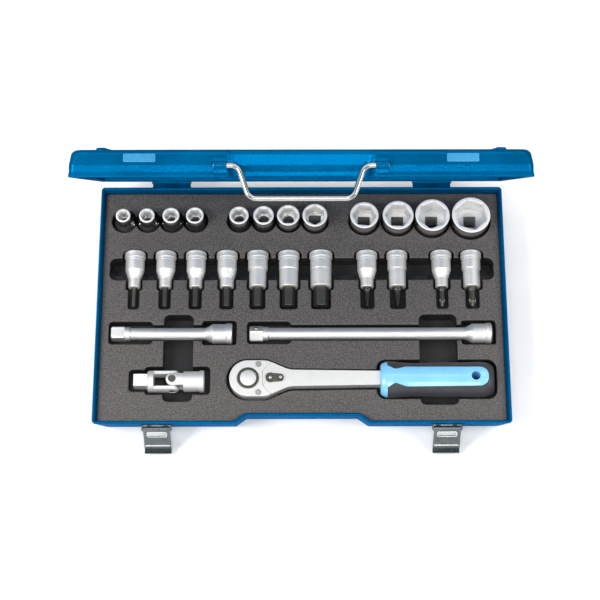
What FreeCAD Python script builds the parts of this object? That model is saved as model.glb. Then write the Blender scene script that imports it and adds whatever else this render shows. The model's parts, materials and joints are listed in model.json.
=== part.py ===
import FreeCAD, Part
import math
import os

import Sketcher

# A half-inch-drive socket wrench set in a hinged sheet-steel case, in millimetres.
# X runs along the case, Y from the latches to the hinges, Z up; the origin is the middle of the underside.

doc = FreeCAD.newDocument("socket_wrench_set")
V = FreeCAD.Vector

# ---------------------------------------------------------------- driving dimensions
SIZES = {
    # case
    "case_length": 425.0,
    "case_depth": 262.0,
    "base_height": 42.0,
    "lid_height": 25.4,
    "sheet_gauge": 1.0,
    "hem_width": 3.2,
    "hem_height": 7.0,
    "base_inset": 9.0,
    "lid_inset": 4.5,
    "corner_radius": 4.0,
    "lid_end_corner": 9.0,
    "edge_radius": 5.0,
    "recess_half": 68.0,
    "recess_depth": 8.0,
    "lid_end_recess": 1.2,
    "lid_rib_spacing": 184.5,
    "lid_rib_half": 106.0,
    "lid_rib_height": 2.6,
    "lid_open_angle": 66.0,
    # hinges
    "hinge_offset": 5.7,
    "hinge_spacing": 138.0,
    "hinge_width": 40.0,
    "knuckle_radius": 2.6,
    "hinge_pin_radius": 1.25,
    "leaf_gauge": 1.2,
    # handle
    "grip_rod_radius": 2.5,
    "handle_half": 80.0,
    "handle_rise": 10.8,
    "handle_reach": 30.5,
    # latches
    "latch_spacing": 147.0,
    "latch_width": 27.4,
    "latch_reach": 31.0,
    "latch_pin_height": 33.5,
    "latch_pin_y": -133.6,
    "latch_open_angle": 154.0,
    "keeper_width": 29.5,
    "keeper_height": 8.0,
    "keeper_lift": 13.6,
    "keeper_proud": 1.8,
    # insert
    "insert_top": 34.0,
    "insert_gauge": 1.6,
    # tools
    "square_drive": 12.7,
    "socket_row": 95.0,
    "socket_top": 49.0,
    "drive_end_diameter": 22.5,
    "tool_axis": 30.0,
    "bit_row_back": 59.3,
    "holder_length": 39.3,
    "bit_reach": 21.0,
    "bar_row": -30.7,
    "bar_shaft_diameter": 12.6,
    "bar_head_diameter": 22.0,
    "long_bar_length": 250.0,
    "short_bar_length": 125.0,
    "long_bar_start": -54.2,
    "short_bar_start": -197.0,
    "joint_row": -82.5,
    "joint_start": -172.0,
    "joint_length": 72.0,
    "joint_diameter": 22.6,
    "ratchet_row": -81.5,
    "ratchet_head_x": -55.0,
    "ratchet_top": 39.0,
    "head_radius": 19.2,
    "head_thickness": 20.0,
    "shank_thickness": 11.0,
    "shank_width": 17.6,
    "grip_start": 80.0,
    "grip_end": 196.0,
    "grip_width": 36.5,
    "grip_thickness": 27.0,
}

sheet = doc.addObject("Spreadsheet::Sheet", "Sizes")
for row, (alias, value) in enumerate(SIZES.items(), start=1):
    sheet.set(f"A{row}", alias.replace("_", " "))
    sheet.set(f"B{row}", str(value))
    sheet.setAlias(f"B{row}", alias)
doc.recompute()


def size(alias):
    """A driving dimension, read back from the sheet."""
    return float(getattr(sheet, alias))


NODES = []


def keep(obj, label, placement=None):
    """Name a finished sub-part and note it for export."""
    obj.Label = label
    if placement is not None:
        obj.Placement = placement
    NODES.append(obj)
    return obj


# ---------------------------------------------------------------- sketch and body helpers
def origin_plane(body, role):
    return next(o for o in body.Origin.OriginFeatures if o.Role == role)


def new_sketch(body, name, role="XY_Plane", offset=0.0, offset_expression=None):
    sketch = body.newObject("Sketcher::SketchObject", name)
    sketch.AttachmentSupport = [(origin_plane(body, role), "")]
    sketch.MapMode = "FlatFace"
    if offset_expression:
        sketch.setExpression("AttachmentOffset.Base.z", offset_expression)
    elif offset:
        sketch.AttachmentOffset = FreeCAD.Placement(V(0, 0, offset), FreeCAD.Rotation())
    return sketch


def bound(expression):
    """The present value of a sheet expression, given as a number or as text."""
    if isinstance(expression, str):
        return float(sheet.evalExpression(expression.replace("Sizes.", "")))
    return float(expression)


def draw_polygon(sketch, points):
    """A closed polygon; each coordinate is a number or a sheet expression, and is held by a constraint."""
    values = [(bound(x), bound(y)) for x, y in points]
    count = len(values)
    for i in range(count):
        a, b = values[i], values[(i + 1) % count]
        sketch.addGeometry(Part.LineSegment(V(a[0], a[1], 0), V(b[0], b[1], 0)), False)
    for i in range(count):
        sketch.addConstraint(Sketcher.Constraint("Coincident", i, 2, (i + 1) % count, 1))
    for i, (x, y) in enumerate(points):
        for kind, expression, value in (("DistanceX", x, values[i][0]), ("DistanceY", y, values[i][1])):
            index = sketch.addConstraint(Sketcher.Constraint(kind, -1, 1, i, 1, value))
            if isinstance(expression, str):
                sketch.setExpression(f"Constraints[{index}]", expression)


def draw_circle(sketch, x, y, radius):
    index = sketch.addGeometry(Part.Circle(V(x, y, 0), V(0, 0, 1), bound(radius)), False)
    sketch.addConstraint(Sketcher.Constraint("DistanceX", -1, 1, index, 3, x))
    sketch.addConstraint(Sketcher.Constraint("DistanceY", -1, 1, index, 3, y))
    held = sketch.addConstraint(Sketcher.Constraint("Radius", index, bound(radius)))
    if isinstance(radius, str):
        sketch.setExpression(f"Constraints[{held}]", radius)


def regular_points(sides, across_flats, turn=0.0):
    """Corners of a regular polygon with flats this far apart; turn 0 puts a flat towards +Y."""
    radius = across_flats / 2.0 / math.cos(math.pi / sides)
    start = math.pi / 2 + math.pi / sides + math.radians(turn)
    angles = [start + 2 * math.pi * i / sides for i in range(sides)]
    return [(radius * math.cos(a), radius * math.sin(a)) for a in angles]


def draw_regular(sketch, sides, across_flats, turn=0.0):
    draw_polygon(sketch, regular_points(sides, across_flats, turn))


def revolve(body, name, points, axis="V_Axis", role="XZ_Plane"):
    """Turn a half profile of (radius, height) points about the sketch's axis."""
    sketch = new_sketch(body, name + "_profile", role)
    draw_polygon(sketch, points)
    turned = body.newObject("PartDesign::Revolution", name)
    turned.Profile = sketch
    turned.ReferenceAxis = (sketch, [axis])
    turned.Angle = 360.0
    return turned


def pad(body, sketch, length, name, midplane=False, reverse=False):
    feature = body.newObject("PartDesign::Pad", name)
    feature.Profile = sketch
    if midplane:
        feature.SideType = "Symmetric"
    feature.Reversed = reverse
    if isinstance(length, str):
        feature.setExpression("Length", length)
    else:
        feature.Length = length
    return feature


def pocket(body, sketch, length, name, reverse=False, midplane=False):
    """Cut a sketch into the body and prove that the cut removed something."""
    doc.recompute()
    before = body.Shape.Volume
    feature = body.newObject("PartDesign::Pocket", name)
    feature.Profile = sketch
    if midplane:
        feature.SideType = "Symmetric"
    feature.Reversed = reverse
    if isinstance(length, str):
        feature.setExpression("Length", length)
    else:
        feature.Length = length
    doc.recompute()
    if body.Shape.Volume > before - 0.01:
        raise RuntimeError(f"{body.Name}.{name} cut nothing")
    return feature


def new_body(name):
    return doc.addObject("PartDesign::Body", name)


def shaped(name, shape):
    """A document object for a shape that only Part's own functions make well."""
    feature = doc.addObject("Part::Feature", name)
    feature.Shape = shape
    return feature


# ---------------------------------------------------------------- wire and solid helpers
def rounded_wire(points, radii, z):
    """A closed wire through the points at height z, each corner turned into an arc of its radius."""
    count = len(points)
    joints = []
    for i, (x, y) in enumerate(points):
        here = V(x, y, z)
        back = V(points[i - 1][0], points[i - 1][1], z) - here
        ahead = V(points[(i + 1) % count][0], points[(i + 1) % count][1], z) - here
        back.normalize()
        ahead.normalize()
        half = back.getAngle(ahead) / 2
        reach = radii[i] / math.tan(half)
        start, end = here + back * reach, here + ahead * reach
        middle = here + (back + ahead).normalize() * (radii[i] / math.sin(half) - radii[i])
        joints.append((start, middle, end))
    edges = []
    for i, (start, middle, end) in enumerate(joints):
        edges.append(Part.Arc(start, middle, end).toShape())
        edges.append(Part.LineSegment(end, joints[(i + 1) % count][0]).toShape())
    return Part.Wire(edges)


def prism(points, radii, low, high):
    """A straight solid between two heights."""
    face = Part.Face(rounded_wire(points, radii, low))
    return face.extrude(V(0, 0, high - low))


def upright(corners, low, high):
    """A straight solid with sharp corners."""
    points = [V(x, y, low) for x, y in corners]
    return Part.Face(Part.makePolygon(points + points[:1])).extrude(V(0, 0, high - low))


def block(x1, x2, y1, y2, radius, low, high):
    return prism([(x1, y1), (x2, y1), (x2, y2), (x1, y2)], [radius] * 4, low, high)


def cylinder(radius, start, end):
    along = V(*end) - V(*start)
    return Part.makeCylinder(radius, along.Length, V(*start), along)


def swept_rod(points, bend, radius, closed=False):
    """A round rod along straight runs joined by tangent arcs."""
    points = [V(*p) for p in points]
    count = len(points)
    inner = range(count) if closed else range(1, count - 1)
    arcs = {}
    for i in inner:
        here = points[i]
        back = (points[i - 1] - here).normalize()
        ahead = (points[(i + 1) % count] - here).normalize()
        half = back.getAngle(ahead) / 2
        reach = bend / math.tan(half)
        middle = here + (back + ahead).normalize() * (bend / math.sin(half) - bend)
        arcs[i] = (here + back * reach, middle, here + ahead * reach)
    edges = []
    for i in range(count if closed else count - 1):
        j = (i + 1) % count
        start = arcs[i][2] if i in arcs else points[i]
        end = arcs[j][0] if j in arcs else points[j]
        edges.append(Part.LineSegment(start, end).toShape())
        if j in arcs:
            edges.append(Part.Arc(*arcs[j]).toShape())
    path = Part.Wire(edges)
    first = edges[0].Vertexes[0].Point
    direction = edges[0].tangentAt(edges[0].FirstParameter)
    profile = Part.Wire([Part.Circle(first, direction, radius).toShape()])
    return path.makePipeShell([profile], True, False)


def turned_about_x(y, z, degrees):
    """A placement that turns the part about the line through y, z parallel to X."""
    return FreeCAD.Placement(V(0, 0, 0), FreeCAD.Rotation(V(1, 0, 0), degrees), V(0, y, z))


# ---------------------------------------------------------------- case pans
def pan_outline(inset, recess, gauge=0.0):
    """The pan's outline with the hand recess in the front, drawn in by inset, and by a wall of gauge."""
    half_x = size("case_length") / 2 - inset - gauge
    half_y = size("case_depth") / 2 - inset - gauge
    outer = size("recess_half") + gauge * 0.4
    inner = outer - recess - 3
    return [
        (-half_x, -half_y),
        (-outer, -half_y),
        (-inner, -half_y + recess),
        (inner, -half_y + recess),
        (outer, -half_y),
        (half_x, -half_y),
        (half_x, half_y),
        (-half_x, half_y),
    ]


def pan_wire(inset, recess, corner, z, gauge=0.0):
    radii = [corner - gauge, 3.0, 3.0, 3.0, 3.0, corner - gauge, corner - gauge, corner - gauge]
    return rounded_wire(pan_outline(inset, recess, gauge), radii, z)


def pan_loft(z_rim, z_end, far, gauge, levels):
    """The tapered pan solid through the given (height, extra inset) levels, drawn in by gauge.

    far holds the inset, the hand recess's depth and the corner radius at the end away from the rim."""
    inset, recess, corner = far
    rim_recess, rim_corner = size("recess_depth"), size("corner_radius")
    sections = []
    for z, extra in levels:
        share = (z - z_rim) / (z_end - z_rim)
        depth = rim_recess + (recess - rim_recess) * share
        radius = rim_corner + (corner - rim_corner) * share
        sections.append(pan_wire(inset * share + extra, depth, radius, z, gauge))
    return Part.makeLoft(sections, True, True)


def softened(z_from, z_end, radius):
    """Levels that run straight from one height and then turn in around the pan's bottom edge."""
    toward = 1 if z_end > z_from else -1
    levels = [(z_from, 0.0)]
    for degrees in (0, 30, 60, 90):
        turn = math.radians(degrees)
        levels.append((z_end - toward * radius * (1 - math.sin(turn)), radius * (1 - math.cos(turn))))
    return levels


def sheet_pan(z_rim, z_end, far):
    """A pressed sheet pan with a folded hem at its rim."""
    gauge, hem, hem_height = size("sheet_gauge"), size("hem_width"), size("hem_height")
    radius = size("edge_radius")
    toward = 1 if z_end > z_rim else -1
    z_hem = z_rim + toward * hem_height
    z_floor = z_end - toward * gauge
    outer = pan_loft(z_rim, z_end, far, 0.0, softened(z_rim, z_end, radius))
    inner = pan_loft(z_rim, z_end, far, gauge, softened(z_hem, z_floor, radius - gauge))
    mouth = pan_loft(z_rim, z_end, far, hem, [(z_rim, 0.0), (z_hem, 0.0)])
    return outer.cut([inner, mouth])


BASE_H = size("base_height")
LID_TOP = BASE_H + size("lid_height")
HALF_Y = size("case_depth") / 2
HINGE_Y = HALF_Y + size("hinge_offset")
LID_SLOPE = size("lid_inset") / size("lid_height")
BASE_SLOPE = size("base_inset") / size("base_height")
LID_PLACE = turned_about_x(HINGE_Y, BASE_H, -size("lid_open_angle"))
BASE_FAR = (size("base_inset"), size("recess_depth"), size("corner_radius"))
LID_FAR = (size("lid_inset"), size("lid_end_recess"), size("lid_end_corner"))


def make_case():
    base = sheet_pan(BASE_H, 0.0, BASE_FAR)
    keep(shaped("CaseBase", base), "case_base")

    lid = sheet_pan(BASE_H, LID_TOP, LID_FAR)
    field = block(-173, 173, -96, 96, 12, LID_TOP - 0.3, LID_TOP + 0.7)
    reach = size("lid_rib_half")
    ribs = []
    for side in (-1, 1):
        x = side * size("lid_rib_spacing")
        ribs.append(block(x - 5, x + 5, -reach, reach, 4.9, LID_TOP - 0.5, LID_TOP + size("lid_rib_height")))
    lid = lid.fuse([field] + ribs)
    keepers = []
    for side in (-1, 1):
        half = size("keeper_width") / 2
        low = BASE_H + size("keeper_lift")
        high = low + size("keeper_height")
        x = side * size("latch_spacing")
        face = [wall_point(LID_SLOPE, z - BASE_H, out) for z, out in
                ((low, -0.5), (high, -0.5), (high, size("keeper_proud")), (low, size("keeper_proud")))]
        keepers.append(side_plate(face, x - half, x + half))
    lid = lid.fuse(keepers).removeSplitter()
    keep(shaped("CaseLid", lid), "case_lid", LID_PLACE)


def wall_point(slope, rise, out):
    """(y, z) of a point on a front wall: rise above the rim, out in front of its outer face."""
    return (-HALF_Y + slope * rise - out, BASE_H + rise)


def side_plate(points, x1, x2):
    """A polygon in the YZ plane made into a plate between two X."""
    vectors = [V(x1, y, z) for y, z in points]
    face = Part.Face(Part.makePolygon(vectors + vectors[:1]))
    return face.extrude(V(x2 - x1, 0, 0))


# ---------------------------------------------------------------- hinges
def hinge_rod(radius, x1, x2):
    return cylinder(radius, (x1, HINGE_Y, BASE_H), (x2, HINGE_Y, BASE_H))


def hinge_half(x, direction):
    """One leaf with its knuckles: direction -1 goes down the base's back wall, 1 up the lid's."""
    slope = BASE_SLOPE if direction < 0 else LID_SLOPE
    gauge, radius = size("leaf_gauge"), size("knuckle_radius")
    half = size("hinge_width") / 2
    lean = math.atan(slope)
    along = V(0, -math.sin(lean), direction * math.cos(lean))
    out = V(0, math.cos(lean), direction * math.sin(lean))
    root = V(0, HALF_Y, BASE_H)

    def at(s, t):
        p = root + along * s + out * t
        return (p.y, p.z)

    length = 22 if direction < 0 else 19
    leaf = [at(2.5, 0.02), at(length, 0.02), at(length, gauge), at(2.5, gauge)]
    plate = side_plate(leaf, x - half, x + half)
    middle = half * 0.34
    spans = [(x - half, x - middle - 0.2), (x + middle + 0.2, x + half)]
    if direction > 0:
        spans = [(x - middle + 0.2, x + middle - 0.2)]
    solid = plate
    for x1, x2 in spans:
        barrel = hinge_rod(radius, x1, x2)
        arm = side_plate([
            at(2.5, 0.02),
            at(6.5, gauge),
            (HINGE_Y + 0.4, BASE_H + direction * (radius - 0.05)),
            (HINGE_Y - 1.6, BASE_H + direction * 1.6),
        ], x1, x2)
        solid = solid.fuse([barrel, arm])
    bore = hinge_rod(size("hinge_pin_radius") + 0.05, x - half - 1, x + half + 1)
    return solid.cut(bore).removeSplitter()


def make_hinges():
    spots = [side * size("hinge_spacing") for side in (-1, 1)]
    for direction, label in ((-1, "hinge_base_leaves"), (1, "hinge_lid_leaves")):
        pair = Part.makeCompound([hinge_half(x, direction) for x in spots])
        keep(shaped(label, pair), label, LID_PLACE if direction > 0 else None)
    pins = []
    half = size("hinge_width") / 2
    for x in spots:
        pin = hinge_rod(size("hinge_pin_radius"), x - half - 0.6, x + half + 0.6)
        heads = [hinge_rod(2.1, x + s * (half + 0.1), x + s * (half + 0.9)) for s in (-1, 1)]
        pins.append(pin.fuse(heads).removeSplitter())
    keep(shaped("HingePins", Part.makeCompound(pins)), "hinge_pins")


# ---------------------------------------------------------------- handle
HANDLE_Z = BASE_H + size("handle_rise")
HANDLE_Y = -HALF_Y + LID_SLOPE * size("handle_rise") - size("grip_rod_radius") - 1.3


def make_handle():
    lean = math.atan(LID_SLOPE)
    reach = size("handle_reach")
    run = size("handle_half")

    def at(x, down):
        return (x, HANDLE_Y - down * math.sin(lean), HANDLE_Z - down * math.cos(lean))

    route = [at(-run, 0), at(-57.5, 0), at(-47.0, reach), at(47.0, reach), at(57.5, 0), at(run, 0)]
    rod = swept_rod(route, 9.5, size("grip_rod_radius"))
    keep(shaped("CarryingHandle", rod), "carrying_handle", LID_PLACE)

    brackets = []
    inner = size("grip_rod_radius") + 0.08
    outer = inner + 1.1
    for side in (-1, 1):
        x1, x2 = sorted((side * 67.5, side * (run - 0.5)))
        barrel = cylinder(outer, (x1, HANDLE_Y, HANDLE_Z), (x2, HANDLE_Y, HANDLE_Z))
        foot = [wall_point(LID_SLOPE, size("handle_rise") + dz, out)
                for dz, out in ((-6.8, 0.02), (6.8, 0.02), (6.8, 1.1), (2.4, 2.4), (-2.4, 2.4), (-6.8, 1.1))]
        solid = barrel.fuse(side_plate(foot, x1, x2))
        bore = cylinder(inner, (x1 - 1, HANDLE_Y, HANDLE_Z), (x2 + 1, HANDLE_Y, HANDLE_Z))
        brackets.append(solid.cut(bore).removeSplitter())
    keep(shaped("HandleBrackets", Part.makeCompound(brackets)), "handle_brackets", LID_PLACE)


# ---------------------------------------------------------------- latches
LATCH_Y = size("latch_pin_y")
LATCH_Z = size("latch_pin_height")


def make_latches():
    half = size("latch_width") / 2
    plates = []
    for side in (-1, 1):
        x = side * size("latch_spacing")
        rise = LATCH_Z - BASE_H
        back = [wall_point(-BASE_SLOPE, rise + dz, out)
                for dz, out in ((-12, 0.02), (4.5, 0.02), (4.5, 1.0), (-12, 1.0))]
        plate = side_plate(back, x - half - 1.3, x + half + 1.3)
        ear = [wall_point(-BASE_SLOPE, rise - 5.5, 0.8), wall_point(-BASE_SLOPE, rise + 3.5, 0.8),
               (LATCH_Y - 1.0, LATCH_Z + 2.6), (LATCH_Y - 2.8, LATCH_Z), (LATCH_Y - 1.0, LATCH_Z - 2.8)]
        ears = [side_plate(ear, x + s * (half + 0.8) - 0.5, x + s * (half + 0.8) + 0.5) for s in (-1, 1)]
        pin = cylinder(1.25, (x - half - 1.7, LATCH_Y, LATCH_Z), (x + half + 1.7, LATCH_Y, LATCH_Z))
        rivets = [Part.makeSphere(2.6, V(x + s * 8.5, LATCH_Y + 5.1, LATCH_Z - 8.0)).common(
            side_plate([wall_point(-BASE_SLOPE, rise - 12, 0.5), wall_point(-BASE_SLOPE, rise - 2, 0.5),
                        wall_point(-BASE_SLOPE, rise - 2, 4.0), wall_point(-BASE_SLOPE, rise - 12, 4.0)],
                       x - half, x + half)) for s in (-1, 1)]
        plates.append(plate.fuse(ears + [pin] + rivets).removeSplitter())
    keep(shaped("LatchPlates", Part.makeCompound(plates)), "latch_plates")

    for side, name in ((-1, "left"), (1, "right")):
        keep(make_latch_lever(side * size("latch_spacing"), name), f"latch_lever_{name}",
             turned_about_x(LATCH_Y, LATCH_Z, size("latch_open_angle")))


def make_latch_lever(x, name):
    """A sprung sheet lever, modelled closed: it runs up from the pin and hooks over the lid's keeper."""
    half = size("latch_width") / 2
    reach = size("latch_reach")
    y0, z0 = LATCH_Y, LATCH_Z
    top = z0 + reach
    plate = side_plate([
        (y0 + 1.2, z0 - 0.5), (y0 + 2.2, z0 - 0.5), (y0 + 2.2, top - 1), (y0 + 1.2, top),
    ], x - half, x + half)
    hook = side_plate([
        (y0 + 1.2, top + 0.9), (y0 + 1.2, top - 1), (y0 + 2.2, top - 1),
        (y0 + 2.6, top - 0.3), (y0 + 5.6, top - 0.3), (y0 + 5.6, top + 0.9),
    ], x - half, x + half)
    tab = side_plate([
        (y0 + 1.2, top - 0.4), (y0 + 2.2, top + 0.9), (y0 - 1.3, top + 4.2), (y0 - 2.1, top + 3.5),
    ], x - half + 3.6, x + half - 3.6)
    knuckle = cylinder(2.2, (x - half, y0, z0), (x + half, y0, z0))
    window = side_plate([(y0 - 4, z0 + 3.4), (y0 + 4, z0 + 3.4), (y0 + 4, z0 + 9.6), (y0 - 4, z0 + 9.6)],
                        x - 9.5, x + 9.5)
    bead = cylinder(0.9, (x - half + 2, y0 + 1.2, z0 + 13.5), (x + half - 2, y0 + 1.2, z0 + 13.5))
    solid = plate.fuse([hook, tab, knuckle, bead])
    bore = cylinder(1.32, (x - half - 1, y0, z0), (x + half + 1, y0, z0))
    return shaped(f"LatchLever_{name}", solid.cut([bore, window]).removeSplitter())


# ---------------------------------------------------------------- sockets
# across flats: x, mouth diameter, length, hexagon turned by, square hole right through
SOCKETS = {
    10: (-187.6, 15.4, 38.0, 0.0),
    11: (-162.7, 16.4, 38.0, 0.0),
    12: (-137.4, 17.8, 38.0, 0.0),
    13: (-112.3, 18.6, 38.0, 0.0),
    14: (-65.9, 20.4, 38.0, 4.0),
    15: (-40.1, 21.6, 38.0, 0.0),
    17: (-14.2, 23.8, 38.0, 0.0),
    19: (13.8, 26.2, 38.0, 30.0),
    22: (65.8, 30.0, 40.0, -5.0),
    24: (101.3, 32.6, 42.0, -3.0),
    27: (137.4, 36.3, 44.0, 20.0),
    30: (178.0, 40.4, 45.0, -18.0),
}


def make_socket(flats, x, mouth, length, turn):
    """A hexagon socket standing on its drive end, mouth up."""
    body = new_body(f"Socket{flats}")
    rim = mouth / 2
    drive = "Sizes.drive_end_diameter / 2"
    slim = mouth < size("drive_end_diameter") + 1.5
    if slim:
        outline = [
            (0, 0), (bound(drive) - 1.0, 0), (drive, 1.0), (drive, length * 0.45),
            (rim, length * 0.62), (rim, length - 0.8), (rim - 0.8, length), (0, length),
        ]
    else:
        neck = min(rim - 1.2, 15.0)
        outline = [
            (0, 0), (neck - 1.0, 0), (neck, 1.0), (neck, length * 0.34),
            (rim, length * 0.5), (rim, length - 0.9), (rim - 0.9, length), (0, length),
        ]
    revolve(body, "Blank", outline)
    depth = 16.0 if flats < 20 else 20.0
    mouth_sketch = new_sketch(body, "Hexagon", offset=length)
    draw_regular(mouth_sketch, 6, flats, turn)
    pocket(body, mouth_sketch, depth, "Mouth")
    hole_sketch = new_sketch(body, "Through", offset=length)
    draw_circle(hole_sketch, 0, 0, min(flats / 2 - 1.2, 6.0))
    pocket(body, hole_sketch, length - 5, "ThroughHole")
    drive_sketch = new_sketch(body, "Square")
    draw_regular(drive_sketch, 4, size("square_drive") + 0.2)
    square_depth = 16.0 if flats < 19 else length - depth + 1
    pocket(body, drive_sketch, square_depth, "DriveSquare", reverse=True)
    keep(body, f"socket_{flats}mm",
         FreeCAD.Placement(V(x, size("socket_row"), size("socket_top") - length), FreeCAD.Rotation()))


# ---------------------------------------------------------------- bit sockets
# name: x, collar diameter, front sleeve diameter, kind, size of the tip
BITS = {
    "hex_5": (-175.0, 22.0, 12.6, "hex", 5.0),
    "hex_6": (-142.7, 22.0, 12.8, "hex", 6.0),
    "hex_7": (-110.9, 22.0, 13.6, "hex", 7.0),
    "hex_8": (-78.4, 22.2, 14.6, "hex", 8.0),
    "hex_10": (-46.2, 22.6, 17.8, "hex", 10.0),
    "hex_12": (-13.7, 22.6, 19.6, "hex", 12.0),
    "hex_14": (20.0, 24.4, 21.8, "hex", 14.0),
    "slot_8": (68.2, 22.2, 13.6, "slot", 8.0),
    "slot_10": (99.9, 22.0, 17.6, "slot", 10.0),
    "cross_2": (146.2, 22.2, 13.4, "cross", 6.0),
    "cross_3": (177.6, 22.0, 17.6, "cross", 8.0),
}
LAY_DOWN = FreeCAD.Rotation(V(1, 0, 0), 90)


def lying(x, y):
    """A part modelled along +Z laid down to point at the front, its start at this x and y."""
    return FreeCAD.Placement(V(x, y, size("tool_axis")), LAY_DOWN)


def make_bit_socket(name, x, collar, sleeve, kind, tip):
    holder = new_body(f"Holder_{name}")
    length = size("holder_length")
    waist = collar / 2 - 1.1
    front = sleeve / 2
    start = 20.0 if front < waist - 1.5 else 19.0
    end = start + (8.0 if front < waist - 1.5 else 1.0)
    revolve(holder, "Sleeve", [
        (0, 0), (collar / 2 - 0.6, 0), (collar / 2, 0.6), (collar / 2, 6.0), (waist, 6.8), (waist, start),
        (front, end), (front, "Sizes.holder_length - 0.6"), (front - 0.6, "Sizes.holder_length"),
        (0, "Sizes.holder_length"),
    ])
    square = new_sketch(holder, "Square")
    draw_regular(square, 4, size("square_drive") + 0.2)
    pocket(holder, square, 16.0, "DriveSquare", reverse=True)
    bore = new_sketch(holder, "Bore", offset=length)
    bit_flats = tip if kind == "hex" else (8.0 if sleeve < 15 else 10.0)
    draw_regular(bore, 6, bit_flats)
    pocket(holder, bore, 18.0, "BitHole")
    keep(holder, f"bit_holder_{name}", lying(x, size("bit_row_back")))

    bit = new_body(f"Bit_{name}")
    reach = size("bit_reach")
    seat = 17.5
    root = new_sketch(bit, "Shank", offset=length - seat)
    draw_regular(root, 6, bit_flats)
    if kind == "hex":
        pad(bit, root, seat + reach - 0.5, "Hexagon")
        nose = new_sketch(bit, "Nose", offset=length + reach - 0.5)
        draw_regular(nose, 6, bit_flats - 1.0)
        pad(bit, nose, 0.5, "Chamfered")
    else:
        pad(bit, root, seat + 3.0, "Hexagon")
        shank = tip * (0.62 if kind == "slot" else 1.0)
        tip_width = tip if kind == "slot" else tip * 0.36
        revolve(bit, "Blade", [
            (0, length + 2.0), (bit_flats / 2, length + 2.0), (bit_flats / 2, length + 3.0),
            (shank / 2, length + 5.0),
            (tip / 2 if kind == "slot" else shank / 2, length + reach - (6.0 if kind == "slot" else 5.5)),
            (tip_width / 2, length + reach), (0, length + reach),
        ])
        cuts = new_sketch(bit, "Flats", role="YZ_Plane" if kind == "slot" else "XY_Plane",
                          offset=0 if kind == "slot" else length + reach)
        if kind == "slot":
            for s in (-1, 1):
                end = length + reach
                root_half = shank / 2 + 0.2
                draw_polygon_at(cuts, [(s * 0.6, end + 1), (s * 0.6, end - 1.5), (s * root_half, end - 13),
                                       (s * 9, end - 13), (s * 9, end + 1)])
            pocket(bit, cuts, 40.0, "BladeFlats", midplane=True)
        else:
            gap = tip * 0.17
            for quarter in range(4):
                turn = math.radians(45 + 90 * quarter)
                draw_polygon_at(cuts, [turn_point(gap * 0.9, 0, turn), turn_point(tip, tip * 0.72, turn),
                                       turn_point(tip, -tip * 0.72, turn)])
            pocket(bit, cuts, 9.0, "Flutes")
    keep(bit, f"bit_{name}", lying(x, size("bit_row_back")))


def turn_point(x, y, angle):
    return (x * math.cos(angle) - y * math.sin(angle), x * math.sin(angle) + y * math.cos(angle))


def draw_polygon_at(sketch, points):
    """A further closed polygon in a sketch that may hold others."""
    first = sketch.GeometryCount
    count = len(points)
    for i in range(count):
        a, b = points[i], points[(i + 1) % count]
        sketch.addGeometry(Part.LineSegment(V(a[0], a[1], 0), V(b[0], b[1], 0)), False)
    for i in range(count):
        sketch.addConstraint(Sketcher.Constraint("Coincident", first + i, 2, first + (i + 1) % count, 1))


# ---------------------------------------------------------------- extension bars
POINT_RIGHT = FreeCAD.Rotation(V(0, 1, 0), 90)


def pointing(x, y, spin):
    """A part modelled along +Z laid down to point to +X, and turned about its own axis."""
    return FreeCAD.Placement(V(x, y, size("tool_axis")), POINT_RIGHT * FreeCAD.Rotation(V(0, 0, 1), spin))


def draw_square_end(body, length, name):
    square = new_sketch(body, name + "Sketch")
    draw_regular(square, 4, size("square_drive") - 0.1)
    return pad(body, square, length, name)


def make_bar(label, length_alias, x, spin):
    """An extension bar: drive square, shaft and socket head, from left to right."""
    body = new_body(label)
    total = f"Sizes.{length_alias}"
    shaft = "Sizes.bar_shaft_diameter / 2"
    head = "Sizes.bar_head_diameter / 2 - 0.7"
    ring = "Sizes.bar_head_diameter / 2"
    revolve(body, "Shaft", [
        (0, 14.0), (6.9, 14.0), (7.2, 14.6), (7.2, 19.0), (shaft, 20.5), (shaft, f"{total} - 26"),
        (head, f"{total} - 20"), (head, f"{total} - 6"), (ring, f"{total} - 5.2"),
        (ring, f"{total} - 0.6"), (f"{ring} - 0.6", total), (0, total),
    ])
    draw_square_end(body, 14.5, "DriveSquare")
    socket = new_sketch(body, "SocketSketch", offset_expression=total)
    draw_regular(socket, 4, size("square_drive") + 0.2)
    pocket(body, socket, 16.0, "SocketSquare")
    seat = new_sketch(body, "BallSeat", role="XZ_Plane")
    draw_circle(seat, 0, 7.0, 2.35)
    pocket(body, seat, 9.0, "BallHole", reverse=True)
    keep(body, label, pointing(x, size("bar_row"), spin))


# ---------------------------------------------------------------- universal joint
def fork_arms(pivot, base, tip, slot, arm_side):
    """Two tongues about the pivot, apart along X or Y; their tips turn within a small sphere."""
    radius = size("joint_diameter") / 2
    low, high = sorted((pivot + base, pivot + tip))
    blank = Part.makeCylinder(radius, high - low, V(0, 0, low))
    ball = Part.makeSphere(radius + 0.4, V(0, 0, pivot))
    shaft_side = Part.makeCylinder(radius, abs(base), V(0, 0, min(pivot, pivot + base)))
    blank = blank.common(ball.fuse(shaft_side))
    half = slot / 2 - 0.2
    along = V(0, 1, 0) if arm_side == "y" else V(1, 0, 0)
    round_end = Part.makeCylinder(half, 60, V(0, 0, pivot) - along * 30, along)
    if arm_side == "y":
        tongue = Part.makeBox(2 * half, 60, abs(base), V(-half, -30, min(pivot, pivot + base)))
        gap = Part.makeBox(60, slot, 60, V(-30, -slot / 2, 0))
    else:
        tongue = Part.makeBox(60, 2 * half, abs(base), V(-30, -half, min(pivot, pivot + base)))
        gap = Part.makeBox(slot, 60, 60, V(-slot / 2, -30, 0))
    gap.translate(V(0, 0, low - 1))
    pin = Part.makeCylinder(4.04, 60, V(0, 0, pivot) - along * 30, along)
    return blank.common(round_end.fuse(tongue)).cut([gap, pin])


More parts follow.
